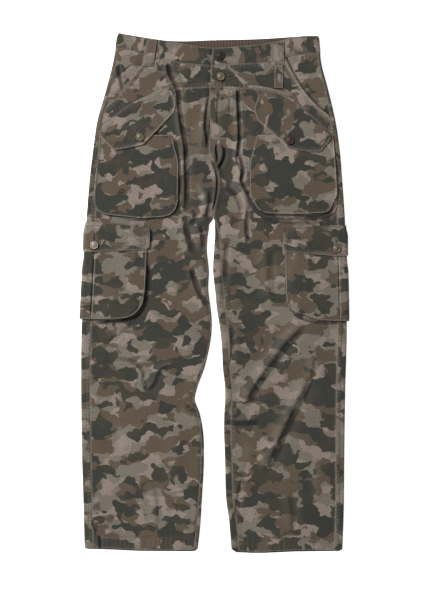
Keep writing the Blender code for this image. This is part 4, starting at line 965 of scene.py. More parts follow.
def inset(outline, distance):
    """The outline drawn in by a distance, with mitred corners."""
    normal = left_of(np.roll(outline, -1, axis=0) - outline) * np.sign(area_of(outline))
    middle = normal + np.roll(normal, 1, axis=0)
    scale = np.maximum(np.sum(middle * normal, axis=1), 0.5)
    return outline + middle / scale[:, None] * distance


def inside(outline, points):
    """Which points are inside a closed outline."""
    found = np.zeros(len(points), bool)
    x, y = points[:, 0], points[:, 1]
    for start, end in zip(outline, np.roll(outline, -1, axis=0)):
        if start[1] == end[1]:
            continue
        at = start[0] + (y - start[1]) * (end[0] - start[0]) / (end[1] - start[1])
        found ^= ((start[1] > y) != (end[1] > y)) & (x < at)
    return found


def distance_to(line, points):
    """How far each point is from the points of a line."""
    tree = KDTree(len(line))
    for i, place in enumerate(line):
        tree.insert((place[0], place[1], 0.0), i)
    tree.balance()
    return np.array([tree.find((place[0], place[1], 0.0))[2] for place in points])


def closed(outline, step=LINE_STEP):
    """A closed outline with evenly spaced points."""
    return resampled(ring(outline), step)[:-1]


def rounded(corners):
    """A closed outline from rows of x, y and the radius of each corner."""
    outline = []
    corners = [Vector(corner) for corner in corners]
    for i, corner in enumerate(corners):
        here = corner.xy
        before = corners[i - 1].xy - here
        after = corners[(i + 1) % len(corners)].xy - here
        cut = min(corner.z / math.tan(before.angle(after) / 2),
                  0.48 * min(before.length, after.length))
        start, end = here + before.normalized() * cut, here + after.normalized() * cut
        for k in range(13):
            u = k / 12
            outline.append(tuple((1 - u) ** 2 * start + 2 * u * (1 - u) * here + u * u * end))
    return closed(np.array(outline))


square = closed(np.array([(0.0, 0.0), (40.0, 0.0), (40.0, 40.0), (0.0, 40.0)]))
print("a 40 mm square drawn in by 5 mm:", round(area_of(inset(square, 5))), "square mm")


# %% Fill an outline with triangles
EDGE_RINGS = (0.7, 2.2)   # rings of points inside the outline, where the edge rolls over
ROOM = 0.55               # least distance of two points: mm from the edge, or share of the spread


def cut_cloth(outline, lines, spread):
    """Triangles that fill an outline. Returns pattern places, faces and distances to the edge."""
    edge = resampled(ring(outline), EDGE_STEP)
    guides = np.vstack([inset(outline, distance) for distance in EDGE_RINGS]
                       + [line for line in lines if len(line)])
    guides = guides[inside(outline, guides)]
    guides = guides[distance_to(edge, guides) > ROOM]
    low, high = outline.min(axis=0), outline.max(axis=0)
    row = spread * math.sqrt(3) / 2
    j, i = np.mgrid[math.floor(low[1] / row):math.ceil(high[1] / row) + 1,
                    math.floor(low[0] / spread) - 1:math.ceil(high[0] / spread) + 1]
    lattice = paired((i * spread + (j % 2) * spread / 2).ravel(), (j * row).ravel())
    lattice = lattice[inside(outline, lattice)]
    taken = np.vstack([edge, guides])
    lattice = lattice[distance_to(taken, lattice) > ROOM * spread]
    places = np.vstack([outline, guides, lattice])
    border = list(range(len(outline)))
    cut = delaunay_2d_cdt([Vector(place) for place in places], [], [border], 1, 1e-4)
    places = np.array([tuple(place) for place in cut[0]])
    faces = np.array([tuple(face) for face in cut[2]])
    used, faces = np.unique(faces, return_inverse=True)
    places = places[used]
    return places, faces.reshape(-1, 3), distance_to(edge, places)


def rows_beside(outline, line, distances):
    """Lines inside an outline, at distances from one of its edges, or from all if line is None."""
    rows, edge = [], resampled(ring(outline), EDGE_STEP)
    for distance in distances:
        loop = closed(inset(outline, distance), 1.5)
        near = distance_to(edge, loop) > distance - 0.5
        if line is not None:
            near &= distance_to(resampled(line, EDGE_STEP), loop) < distance + 0.9
        if near.all():
            rows.append(ring(loop))
            continue
        first = -int(np.argmin(near))
        loop, near = np.roll(loop, first, axis=0), np.roll(near, first)
        ends = np.flatnonzero(np.diff(np.concatenate([[0], near.astype(int), [0]])))
        rows += [loop[start:end] for start, end in ends.reshape(-1, 2) if end - start > 5]
    return rows


print("a 40 mm square takes", len(cut_cloth(square, [], FINE)[1]), "triangles")

# %% [markdown]
# ## Camouflage cotton
#
# The print has four colours that the wash has greyed: a dark grey-green, a brown, a khaki and a
# pinkish tan. Its blobs are lobed and wider than tall. An image could be painted, but a
# procedural print has no resolution and no seam: smooth noise, bent twice by other noise, gives
# islands with lobes and bays, and a sharp threshold cuts them out. Three such layers lie on the
# khaki ground, one for each other colour, and a fourth turns parts of the dark one to olive.
#
# Under the print is a twill: fine slanting ribs, far smaller than a fold, so they are only bump.
# Where the cloth rubs, on turned edges and on the crests of folds, the dye goes first. Creases,
# stitched grooves and the cloth under raised edges get painted shade, a darker colour for their
# shadow. The shell carries four numbers for that at each point: the material fades by `worn` and
# `crest`, and darkens by `shade` and `sewn`: painted shade, with the dark dashes of puckered
# seams.

# %% Colours
def linear(red, green, blue):
    """A colour as it is seen on a screen, 0 to 255, as the linear colour that a shader needs."""
    values = [value / 255 for value in (red, green, blue)]
    return (*[v / 12.92 if v <= 0.04045 else ((v + 0.055) / 1.055) ** 2.4 for v in values], 1.0)


PRINT = {
    "dark": linear(60, 60, 54),
    "olive": linear(67, 64, 53),
    "brown": linear(96, 83, 69),
    "khaki": linear(122, 115, 102),
    "tan": linear(145, 131, 121),
}
WORN = linear(168, 157, 143)
WHITE = (1.0, 1.0, 1.0, 1.0)
print("printed colours:", ", ".join(PRINT))


# %% Node helpers
class Wires:
    """Adds nodes to one material and wires them together."""

    def __init__(self, name):
        self.material = bpy.data.materials.new(name)
        self.material.use_nodes = True
        self.tree = self.material.node_tree
        self.shader = self.tree.nodes["Principled BSDF"]

    def feed(self, socket, value):
        if isinstance(value, bpy.types.NodeSocket):
            self.tree.links.new(value, socket)
        else:
            socket.default_value = value

    def feed_all(self, inputs, values):
        for name, value in values.items():
            self.feed(inputs[name.replace("_", " ")], value)

    def node(self, kind, **values):
        node = self.tree.nodes.new(kind)
        self.feed_all(node.inputs, values)
        return node

    def look(self, **values):
        self.feed_all(self.shader.inputs, values)

    def operate(self, kind, operation, first, second):
        node = self.node(kind)
        node.operation = operation
        self.feed(node.inputs[0], first)
        self.feed(node.inputs[1], second)
        return node.outputs[0]

    def vector(self, operation, first, second):
        return self.operate("ShaderNodeVectorMath", operation, first, second)

    def math(self, operation, first, second):
        return self.operate("ShaderNodeMath", operation, first, second)

    def plus(self, first, second):
        return self.math("ADD", first, second)

    def times(self, first, second):
        return self.math("MULTIPLY", first, second)

    def noise(self, where, scale, detail=1.0, roughness=0.5, output="Fac"):
        return self.node("ShaderNodeTexNoise", Vector=where, Scale=scale, Detail=detail,
                         Roughness=roughness).outputs[output]

    def step(self, value, low, high):
        node = self.node("ShaderNodeMapRange", Value=value, From_Min=low, From_Max=high)
        node.interpolation_type = "SMOOTHSTEP"
        return node.outputs[0]

    def mix(self, share, first, second, blend="MIX"):
        node = self.node("ShaderNodeMix")
        node.data_type, node.blend_type = "RGBA", blend
        self.feed(node.inputs[0], share)
        self.feed(node.inputs[6], first)
        self.feed(node.inputs[7], second)
        return node.outputs[2]

    def attribute(self, name):
        node = self.node("ShaderNodeAttribute")
        node.attribute_name = name
        return node.outputs["Fac"]

    def cloth_map(self):
        node = self.node("ShaderNodeUVMap")
        node.uv_map = "ClothUV"
        return node.outputs[0]

    def bump(self, height, strength, distance):
        return self.node("ShaderNodeBump", Height=height, Strength=strength,
                         Distance=distance).outputs[0]


print("node helpers:", ", ".join(name for name in vars(Wires) if not name.startswith("_")))

# %% The printed twill
def camouflage_twill():
    """Washed cotton twill with a four-colour camouflage print."""
    w = Wires("camouflage twill")
    flat = w.cloth_map()

    def bent(where, scale, amount, shift):
        push = w.noise(w.vector("ADD", where, shift), scale, 1.0, 0.5, "Color")
        push = w.vector("SUBTRACT", push, (0.5, 0.5, 0.5))
        return w.vector("ADD", where, w.vector("MULTIPLY", push, (amount, amount, 0.0)))

    drifted = bent(bent(flat, 36, 0.022, (3.1, 7.7, 0)), 95, 0.008, (11.3, 2.9, 0))

    def islands(scale, shift, level):
        where = w.vector("ADD", w.vector("MULTIPLY", drifted, (1.0, 1.42, 1.0)), shift)
        sea = w.noise(where, scale, 0.0)
        for fine, strength, start in ((64, 0.46, 8.1), (112, 0.07, 5.7)):
            lobes = w.noise(w.vector("ADD", where, (start, 3.6, 2.2)), fine, 0.0)
            sea = w.plus(sea, w.times(w.math("SUBTRACT", lobes, 0.5), strength))
        return w.step(sea, level - 0.008, level + 0.008)

    colour = w.mix(islands(26, (25, 1, 0.3), 0.55), PRINT["khaki"], PRINT["tan"])
    colour = w.mix(islands(25, (35, 31, 0.7), 0.518), colour, PRINT["brown"])
    dark = w.mix(islands(16, (22, 51, 3.7), 0.54), PRINT["dark"], PRINT["olive"])
    colour = w.mix(islands(26, (65, 21, 1.9), 0.538), colour, dark)

    uneven = w.noise(flat, 9, 3.0, 0.6)
    speckle = w.noise(flat, 420, 3.0, 0.75)
    tone = w.plus(w.plus(w.times(uneven, 0.45), w.times(speckle, 1.9)), -0.175)
    grey = w.node("ShaderNodeCombineColor", Red=tone, Green=tone, Blue=tone).outputs[0]
    colour = w.mix(1.0, colour, grey, "MULTIPLY")
    threads_left = w.times(w.step(w.noise(flat, 260, 2.0, 0.6), 0.35, 0.6), 0.4)
    rubbed = w.times(w.attribute("worn"), w.plus(threads_left, 0.55))
    rubbed = w.plus(rubbed, w.times(w.attribute("crest"), 0.16))
    colour = w.mix(rubbed, colour, WORN)
    # Painted shade: the colour goes near black in creases, under raised edges and in stitched
    # grooves
    hollow = w.math("MAXIMUM", w.times(w.attribute("shade"), 0.9),
                    w.times(w.attribute("sewn"), 0.4))
    colour = w.mix(hollow, colour, linear(23, 20, 18))

    ribs = w.node("ShaderNodeTexWave", Vector=flat, Scale=420.0, Distortion=0.6, Detail=1.0)
    ribs.bands_direction = "DIAGONAL"
    grain = w.plus(w.times(ribs.outputs["Fac"], 0.6), speckle)
    w.look(Base_Color=colour, Normal=w.bump(grain, 0.35, 0.0004), Roughness=0.92,
           Specular_IOR_Level=0.2, Sheen_Weight=0.12, Sheen_Roughness=0.6)
    return w.material


def plain_inside():
    """The unprinted inside of the cloth and the ribbed inside of the waistband."""
    w = Wires("inside of the cloth")
    flat = w.cloth_map()
    ribs = w.node("ShaderNodeTexWave", Vector=flat, Scale=50.0, Distortion=0.4)
    ribs.bands_direction = "Y"
    shade = w.mix(w.times(ribs.outputs["Fac"], 0.7), linear(88, 74, 62), linear(54, 44, 36))
    fluff = w.times(w.noise(flat, 500, 2.0), 0.4)
    shade = w.mix(fluff, shade, linear(120, 104, 90))
    # Painted shadow where the back's hem shows below the front
    hollow = w.times(w.attribute("shade"), 0.9)
    w.look(Base_Color=w.mix(hollow, shade, linear(24, 21, 19)),
           Normal=w.bump(ribs.outputs["Fac"], 0.6, 0.0008), Roughness=0.95)
    return w.material


TWILL = camouflage_twill()
REVERSE = plain_inside()
print("cloth materials:", TWILL.name, "and", REVERSE.name)

# %% [markdown]
# ## Thread
#
# Every seam on these pants is topstitched, many of them twice. A line of stitching is a row of
# short threads that come up, lie on the cloth for about three millimetres and go down again,
# each in a small dent that it pulls. At arm's length that row is what tells a sewn seam from a
# drawn line, so the threads are real: each is a little spindle with a square section. They are
# many, so numpy builds them all at once, as one mesh for each half of the garment.

# %% Thread material and rows of stitches
STITCH, STITCH_GAP = 3.0, 0.9
THREAD_WIDTH, THREAD_RISE, THREAD_DIP = 0.42, 0.34, 0.15
SPINDLE = ((0.14, 0.75), (0.5, 1.0), (0.86, 0.75))  # how far along it, and how thick
GROOVE, GROOVE_REACH = 0.4, 1.0
threads = []        # bundles of stitches: their starts, their ends and the way up


def cotton_thread(name, dark, pale):
    """Twisted thread, a little darker where it is worn."""
    w = Wires(name)
    where = w.node("ShaderNodeTexCoord").outputs["Object"]
    shade = w.mix(w.noise(where, 60, 3.0, 0.6), dark, pale)
    twist = w.node("ShaderNodeTexWave", Vector=where, Scale=900.0, Distortion=1.0)
    w.look(Base_Color=shade, Normal=w.bump(twist.outputs["Fac"], 0.4, 0.0002), Roughness=0.85)
    return w.material


COTTON = cotton_thread("cotton thread", linear(88, 80, 68), linear(134, 124, 110))
# Painted shadow: a buttonhole's open slit is a near-black thread material, not a hole
SLIT_SHADOW = cotton_thread("dark of a slit", linear(22, 20, 18), linear(34, 30, 27))


def unit(vectors):
    """Vectors of length 1."""
    return vectors / np.maximum(np.linalg.norm(vectors, axis=1), 1e-9)[:, None]


def spindles(start, end, up, width, rise):
    """Points and faces of one spindle from each start to each end."""
    ahead = unit(end - start)
    side = unit(np.cross(up, ahead))
    up = np.cross(ahead, side)
    points = [start - up * THREAD_DIP]
    for share, thick in SPINDLE:
        middle = start + (end - start) * share + up * rise * (thick - 0.8)
        points += [middle + side * width * thick, middle + up * rise * thick,
                   middle - side * width * thick, middle - up * rise * thick]
    points.append(end - up * THREAD_DIP)
    count, each = len(start), len(points)
    points = np.stack(points, axis=1).reshape(-1, 3)
    sides = [(k, (k + 1) % 4) for k in range(4)]
    pattern = [(0, 1 + k, 1 + after) for k, after in sides]
    pattern += [(low + k, low + 4 + k, low + 4 + after, low + after)
                for low in (1, 5) for k, after in sides]
    pattern += [(9 + k, 13, 9 + after) for k, after in sides]
    faces = [tuple(each * i + corner for corner in face) for i in range(count) for face in pattern]
    return points, faces


def sew(lay, rows):
    """Threads along rows of a piece that is laid by lay."""
    for row in rows:
        run = run_along(row)
        begin = np.arange(0.5, run[-1] - STITCH, STITCH + STITCH_GAP)
        if not len(begin):
            continue
        ends = []
        for at in (begin, begin + STITCH):
            outer, inner = lay(np.interp(at, run, row[:, 0]), np.interp(at, run, row[:, 1]))
            ends.append((outer, unit(outer - inner)))
        up = unit(ends[0][1] + ends[1][1])
        down = up * (GROOVE * 0.75)
        threads.append((ends[0][0] - down, ends[1][0] - down, up))


print("stitch", STITCH, "mm long, one every", STITCH + STITCH_GAP, "mm")

# %% [markdown] ## From cut cloth to a shell Every cloth piece is made the same way, by
# `shell`: it lays both faces, presses the stitching in, closes the rim, stores the UV map and
# the values of wear and painted shade, and hides the solid that the piece stands for.

# %% Close the cloth round its rim
def closed_shell(name, outer, inner, faces):
    """A mesh of the outer and inner face of the cloth, joined round the rim."""
    count, used = len(outer), set()
    for face in faces.tolist():
        used.update(zip(face, face[1:] + face[:1]))
    rim = [(j, i, i + count, j + count) for i, j in sorted(used) if (j, i) not in used]
    walls = faces.tolist() + (faces[:, ::-1] + count).tolist() + rim
    mesh = bpy.data.meshes.new(name)
    mesh.from_pydata(((np.vstack([outer, inner]) + SHIFT) * MM).tolist(), [], walls)
    mesh.materials.append(TWILL)
    mesh.materials.append(REVERSE)
    sides = np.zeros(len(walls), int)
    sides[len(faces):2 * len(faces)] = 1
    mesh.polygons.foreach_set("material_index", sides)
    mesh.polygons.foreach_set("use_smooth", np.ones(len(walls), bool))
    return mesh


def map_print(mesh, name, places, turn):
    """The UV map: the flat cloth in metres, turned, and shifted differently for each piece."""
    angle = math.radians(turn)
    spin = np.array([[math.cos(angle), math.sin(angle)], [-math.sin(angle), math.cos(angle)]])
    seed = sum(ord(letter) * (i + 3) for i, letter in enumerate(name))
    start = np.array([seed * 0.37 % 3.0, seed * 0.71 % 3.0])
    spun = np.vstack([places, places]) * MM @ spin + start
    corners = np.empty(len(mesh.loops), int)
    mesh.loops.foreach_get("vertex_index", corners)
    mesh.uv_layers.new(name="ClothUV").data.foreach_set("uv", spun[corners].ravel())


def face_outward(mesh):
    """Turns the faces of a closed mesh that is inside out."""
    solid = bmesh.new()
    solid.from_mesh(mesh)
    if solid.calc_volume(signed=True) < 0:
        bmesh.ops.reverse_faces(solid, faces=solid.faces)
        solid.to_mesh(mesh)
    solid.free()


print("both faces carry", TWILL.name, "outside and", REVERSE.name, "inside")


# %% Where the wash has rubbed the cloth
FULL_CREST = 3.0    # a fold this high is rubbed as pale as it gets


def wear_and_painted_shade(outline, places, outer, edge, ahead, marks, worn=1.0, border=0.0, ribbed=0.3,
            tucked=None, pressed=None):
    """How pale each point is rubbed, how dark its painted shade is, and the crests. `worn` is for
    the cut edge, `border` for a stitched border and `ribbed` for its puckers. An edge that lies
    on `tucked` isn't rubbed, and `pressed` adds the pale and dark of a pressed edge: rubbed pale,
    painted highlight and painted shade."""
    # `dark` collects painted shade: in creases, at pressed edges and under raised edges, with seam
    # dashes
    folds, dark = relief(outer[:, 0], places[:, 1])
    dark *= 1 - ease((places[:, 1] - waist_y(outer[:, 0]) + 2) / 3)
    roped = roping(outer[:, 0], places[:, 1])
    pale = 0.6 * worn * bell(edge / 1.5)
    if border or not worn:
        dark = 0 * dark
        gap, _, along, _ = nearest_on(ring(outline), places[:, 0], places[:, 1])
        ribs = np.sin(2 * math.pi * (along + 0.7 * gap) / 6.0) * (0.6 + 0.4 * np.sin(along / 13.0))
        roped = ribbed * ribs * (1 - ease((gap - 6) / 3)) * (border > 0)
        pale = np.maximum(pale, border * (1 - ease((edge - 2.8) / 1.2)) * (0.8 + 0.2 * ribs))
    if tucked is not None:
        pale *= ease((distance_to(tucked, places) - 7) / 5)
    pale = np.maximum(pale, np.clip(roped, 0, 1) * ahead)
    dark = np.maximum(dark, np.clip(-roped, 0, 1)) * ahead
    if pressed is not None:
        light, shade = pressed(*places.T)
        pale, dark = np.maximum(pale, light), np.maximum(dark, shade)
    # Each mark paints a shadow along its line, or rubs the edge there pale
    for line, mark in marks:
        near = bell(distance_to(resampled(line, 0.5), places) / mark.reach) * ahead
        pale, dark = np.maximum(pale, mark.light * near), np.maximum(dark, mark.dark * near)
    return pale, dark, np.clip(folds / FULL_CREST, 0, 1) * ahead


print("marks that front_left carries:", sum("front_left" in mark.pieces for mark in SHADOW_AND_WEAR_LINES))

# %% Make a shell
EDGE_ROLL, ROLL_REACH = 0.45, 0.9         # how far the cut edge rolls over
BESIDE_STITCHES = (1.2, -1.2)             # rows of points beside a row of stitches
ACROSS_MARK = (-1.6, -0.4, 0.8, 2.0)      # and across a painted shadow or a rubbed edge
lays = {}


def shell(name, outline, lines, spread, lay, turn=0.0, rests_on=(), rows=(), **wear):
    """Makes a cloth piece from its outline and adds it to the scene. `lines` guide its points,
    `lay` puts it round the leg, `turn` turns its print, and `rows` are its stitches."""
    outline = inset(outline, SEAM_GAP / 2)
    lays[name] = lay
    lines = list(lines)
    for row in rows:
        row = resampled(row, 2.8)
        lines += [row] + [beside(row, place) for place in BESIDE_STITCHES]
    marks = [(on_front(side_of(name), mark.line), mark) for mark in SHADOW_AND_WEAR_LINES if name in mark.pieces]
    lines += [beside(resampled(line, 2.0), place) for line, _ in marks for place in ACROSS_MARK]
    places, faces, edge = cut_cloth(outline, lines, spread)
    outer, inner = lay(*places.T)
    ahead = outer[:, 2] > inner[:, 2]
    outer[:, 2] -= EDGE_ROLL * bell(edge / ROLL_REACH) * ahead
    sewn = np.zeros(len(places))
    if len(rows):
        gap = distance_to(np.vstack([resampled(row, 0.5) for row in rows]), places)
        sewn = bell(gap / GROOVE_REACH)
        outer -= unit(outer - inner) * (GROOVE * sewn)[:, None]
        sew(lay, rows)

    mesh = closed_shell(name, outer, inner, faces)
    map_print(mesh, name, places, turn)
    pale, dark, crest = wear_and_painted_shade(outline, places, outer, edge, ahead, marks, **wear)
    # `worn` and `crest` are wear; `shade` is painted shade with seam dashes, `sewn` painted shade
    # in grooves
    for kind, values in (("worn", pale), ("shade", dark), ("sewn", sewn), ("crest", crest)):
        mesh.attributes.new(kind, "FLOAT", "POINT").data.foreach_set("value", np.tile(values, 2))
    face_outward(mesh)
    mesh.set_sharp_from_angle(angle=math.radians(60))

    piece = part_piece(f"cloth_{name}", mesh, name)
    size = outline.max(axis=0) - outline.min(axis=0)
    share = max(0.3, min(1.0, abs(area_of(outline)) / (size[0] * size[1])))
    print(f"{name}: cut {size[0]:.0f} x {size[1]:.0f} mm, {2 * len(faces)} triangles")


# %% Lines that guide the cut
def turning_lines(side, low, high, step=5.0):
    """Rows of points along the side fold, and along the inner fold below the crotch."""
    y = np.arange(low, high, step)
    rows = [paired(fold_place(side, share, y), y)
            for share in np.linspace(0, 1, FOLD_STEPS + 1)]
    y = y[y < CROTCH_Y - 6]
    if len(y):
        rows += [paired(inner_place(side, share, y), y)
                 for share in np.linspace(0, 1, FOLD_STEPS + 1)]
    return rows


print("rows of points down the right leg's folds:", len(turning_lines(RIGHT, -510, 480)))

# %% [markdown]
# ## The back of the legs
#
# The back panels are wider than the front ones and come round both sides onto the front, so the
# side seams show about 14 mm in from the edge. Two flat sheets would be quicker, but their edges
# would gape, where a back that wraps round gives the leg its rounded fold. The garment lies on
# the flat part, so that stays plain. At the hems it shows below the front, darkened by painted
# shadow.

# %% Back panels
HEM_TURN = 25.0     # height of the turned-up hem
HEM_SHOWS = 2.8     # how far the back's hem shows below the front's


def back_panel(side):
    """Back of a leg, from inseam to side seam, up to the waistband."""
    waist, hem = waist_line(side), hem_line(side)
    low_y = height_on(hem, seam_place(side, HEM_Y))
    outer = down(side, seam_place, on_side_seam(side, waist), low_y)
    low_y = height_on(hem, back_inseam(side, HEM_Y))
    inner = down(side, back_inseam, CROTCH_Y - 4, low_y)[::-1]
    bottom = between(hem, outer[-1, 0], inner[0, 0])[1:-1] - np.array([0, HEM_SHOWS])
    crotch = on_back(side, [(CROTCH_X + side.sign * (CROTCH_FOLD + 0.3), CROTCH_Y),
                            (CROTCH_X + side.sign * 0.3, CROTCH_Y + 3)])
    seat_y = np.arange(CROTCH_Y + 15, waist[-1, 1] - 1, 6)
    seat_seam = on_back(side, paired(0 * seat_y, seat_y))
    top = between(waist, waist[-1, 0], outer[0, 0])
    outline = np.vstack([outer, bottom, inner, crotch, seat_seam, top[:-1]])
    rows = rows_beside(outline, outer, (1.8, 7.0)) + rows_beside(outline, inner, (1.8,))
    if side is LEFT:
        rows += rows_beside(outline, seat_seam, (1.8, 7.0))
    rows += rows_beside(outline, bottom, (HEM_TURN,))
    y = np.arange(-508, 470, 3.0)
    strip = [paired(seam_place(side, y) + place, y) for place in (3.2, 5.0, 9.0, 11.5)]
    low_edge = resampled(bottom, 0.8)

    # Painted shadow on the strip of the back's hem that shows below the front
    def painted_shadow_under_hem(a, y):
        gap = distance_to(low_edge, paired(a, y))
        return 0 * gap, 0.9 * (1 - ease((gap - 3) / 3)) * (a > 0)

    shell(f"back_{side.name}", outline, turning_lines(side, -505, 480) + strip, COARSE,
          lambda a, y: laid(side, a, y, 0.0, CLOTH), rests_on=["floor"], rows=rows,
          pressed=painted_shadow_under_hem)


for side in SIDES:
    back_panel(side)

# %% [markdown]
# ## The front of the legs and the fly
#
# The fly closes left over right. The left front ends at the fly's edge, and the right front runs
# on 14 mm under it: it dips below the left one over the last few millimetres. A painted line
# would give no step, and it is the step that casts the fly's thin shadow, which a painted shadow
# along the fly's edge darkens further.

# %% Front panels
FLY_STEP, FLY_UNDERLAP, FLY_END_Y = 2.1, 14.0, 300.0
FLY_CURVE = ((37, 405), (37, 372), (34, 345), (24, 322), (8, 306), (-5, 300))
BAND_UNDERLAP, BAND_STEP, BAND_PROUD = 24.0, 2.8, 1.0


def under_fly(side, a, y, step):
    """How far a right-hand piece dips to pass under the fly."""
    if side is LEFT:
        return 0.0
    x = plan_x(side, a, y)
    fade = ease((y - FLY_END_Y + 22) / 16)
    return step * ease((x - fly_edge(y) + 9) / 8) * fade * (a < -math.pi * side_radius(y))


def fly_place(side, y, underlap):
    """Pattern place of the fly's edge. The right side runs on under the left one."""
    return across_side(side, fly_edge(y) + (underlap if side is RIGHT else 0), y)


def front_panel(side):
    """Front of a leg, from the yoke seam to the hem."""
    line, end_y = yoke_end(side)
    top = between(line, fly_place(side, FLY_YOKE_Y, FLY_UNDERLAP), seam_place(side, end_y))
    hem = hem_line(side)
    outer = down(side, seam_place, end_y, height_on(hem, seam_place(side, HEM_Y)))
    low_y = height_on(hem, front_inseam(side, HEM_Y))
    inner = down(side, front_inseam, CROTCH_Y - 4, low_y)[::-1]
    bottom = between(hem, outer[-1, 0], inner[0, 0])[1:-1]
    rise = on_front(side, drawn(RISE_SEAM)[::-1])
    fly_y = np.arange(RISE_SEAM[0][1], FLY_YOKE_Y, LINE_STEP)[1:]
    fly = paired(fly_place(side, fly_y, FLY_UNDERLAP), fly_y)
    outline = np.vstack([top, outer[1:], bottom, inner, rise, fly])
    rows = rows_beside(outline, bottom, (HEM_TURN,)) + rows_beside(outline, inner, (1.8,))
    if side is LEFT:
        rows += rows_beside(outline, fly, (2.0,)) + rows_beside(outline, rise, (1.8, 7.5))
        rows += [on_front(side, beside(drawn(FLY_CURVE), -inward)) for inward in (0, 6)]
    shell(f"front_{side.name}", outline, fold_rows(side), FINE,
          lambda a, y: laid(side, a, y, -under_fly(side, a, y, FLY_STEP), CLOTH),
          rests_on=[f"back_{side.name}"], rows=rows, tucked=inner if side is RIGHT else None)


for side in SIDES:
    front_panel(side)

# %% [markdown]
# ## Yokes and slanted pockets
#
# A yoke joins the waistband to the front. On these pants it is a band that turns down beside the
# slanted pocket and ends in a point at the side seam. Inside the opening shows the facing, a
# piece of the same cloth that lies a layer lower and runs on under the yoke's edge. A slit cut
# into the front would show the floor, so the opening needs that second piece.

# %% Yokes and facings
FACING_STEP, FACING_UNDER = 2.0, 9.0    # how far the facing lies below and runs under the yoke
FLAP_START = {RIGHT: 94, LEFT: 143}     # from here out the flap is sewn into the yoke's seam


def opening_line(side):
    """The slanted pocket opening, from the waist to the side seam."""
    line = on_front(side, drawn(SLANT[side]))
    waist = waist_line(side)

    def place(y):
        return np.interp(-y, -line[:, 1], line[:, 0])

    top = meeting(place, waist, 490, 440)
    end = on_side_seam(side, line, 420, 250)
    own = line[(line[:, 1] < top - 2) & (line[:, 1] > end + 2)]
    return np.vstack([[(place(top), top)], own, [(seam_place(side, end), end)]])


def yoke(side):
    """Yoke between the waistband and the front, cut away along the slanted pocket."""
    opening = opening_line(side)
    line, end_y = yoke_end(side)
    top = between(waist_line(side), fly_place(side, FLY_WAIST_Y, FLY_UNDERLAP), opening[0, 0])
    bottom = between(line, seam_place(side, end_y), fly_place(side, FLY_YOKE_Y, FLY_UNDERLAP))
    outline = np.vstack([top, opening[1:], bottom])
    free = bottom[np.abs(plan_x(side, *bottom.T)) < FLAP_START[side]]
    rows = rows_beside(outline, opening, (1.6, 6.6)) + rows_beside(outline, free, (1.8, 7.2))
    if side is LEFT:
        fly_y = np.arange(413, 454, 3.0)
        rows += rows_beside(outline, paired(fly_place(side, fly_y, 0), fly_y), (2.0,))
    shell(f"yoke_{side.name}", outline, fold_rows(side), CLOSE,
          lambda a, y: laid(side, a, y, -under_fly(side, a, y, FLY_STEP), CLOTH),
          turn=8 * side.sign, worn=0.4, rows=rows,
          rests_on=[f"back_{side.name}", f"front_{side.name}"])


def pocket_facing(side):
    """Hip cloth inside the slanted opening, running under the yoke's edge."""
    opening = opening_line(side)
    normal = normals(opening)
    normal *= -np.sign(np.sum(normal[:, 0]))
    tucked = opening + normal * FACING_UNDER
    waist = waist_line(side)
    tucked = tucked[tucked[:, 1] < np.interp(tucked[:, 0], waist[:, 0], waist[:, 1]) - 3]
    end_y = opening[-1, 1] - 7
    tucked = tucked[tucked[:, 1] > end_y + 4]
    start_a = np.interp(-tucked[0, 1] - 6, -tucked[:, 1], tucked[:, 0])
    outer = down(side, seam_place, on_side_seam(side, waist), end_y)[::-1]
    top = between(waist, outer[-1, 0], start_a)[1:]
    slant = drawn(SLANT[side], 8)

    def lay(a, y):
        gap, way, _, _ = nearest_on(slant, plan_x(side, a, y), y)
        depth = FACING_STEP * (1 - ease((gap * way * side.sign - 1.5) / 14))
        return laid(side, a, y, -depth, CLOTH)

    shell(f"pocket_facing_{side.name}", np.vstack([tucked, outer, top]), fold_rows(side), CLOSE,
          lay, turn=-20 * side.sign, worn=0.4, rests_on=[f"back_{side.name}"])


for side in SIDES:
    yoke(side)
    pocket_facing(side)

# %% [markdown]
# ## Waistband
#
# The band is a straight strip, folded double over a stiffener, so it is thicker than the legs
# and its print runs another way. Each half goes from the fly round the side to the middle of the
# back, as one sheet, so that the print bends round the side with it. Its front dips lower than
# its back, and the brown inside of the back half shows there.

# %% Waistband
def waistband(side):
    """Half of the waistband."""
    low, high = waist_line(side), round_the_side(side, FRONT_WAIST_TOP, BACK_WAIST_TOP)
    start = fly_place(side, FLY_TOP_Y, BAND_UNDERLAP)
    end = fly_place(side, FLY_WAIST_Y, BAND_UNDERLAP)
    outline = closed(np.vstack([between(high, start, high[-1, 0]),
                                between(low, low[-1, 0], end)]), 2.4)

    def lay(a, y):
        proud = BAND_PROUD * ease(-a / (math.pi * HIP_SIDE / 2))
        return laid(side, a, y, proud - under_fly(side, a, y, BAND_STEP), BAND_CLOTH)

    shell(f"waistband_{side.name}", outline, turning_lines(side, 455, 519, 3.0), CLOSE, lay,
          turn=78 if side is RIGHT else 90, rests_on=[f"back_{side.name}", f"front_{side.name}"],
          rows=rows_beside(outline, None, (1.8,)))


for side in SIDES:
    waistband(side)

# %% [markdown]
# ## Pockets and flaps
#
# The patch pockets have bellows: a narrow strip of cloth joins the pocket's face to the leg, so
# the face stands a few millimetres proud and its folded border catches the light. The cargo
# pockets sit on the side seams. Half of each goes round to the back, and a pleat runs down the
# middle. The flaps are double cloth and lie over the mouths. Raising the leg's own surface would
# be less work, but pieces of their own have true edges, and a print that doesn't match the leg's.

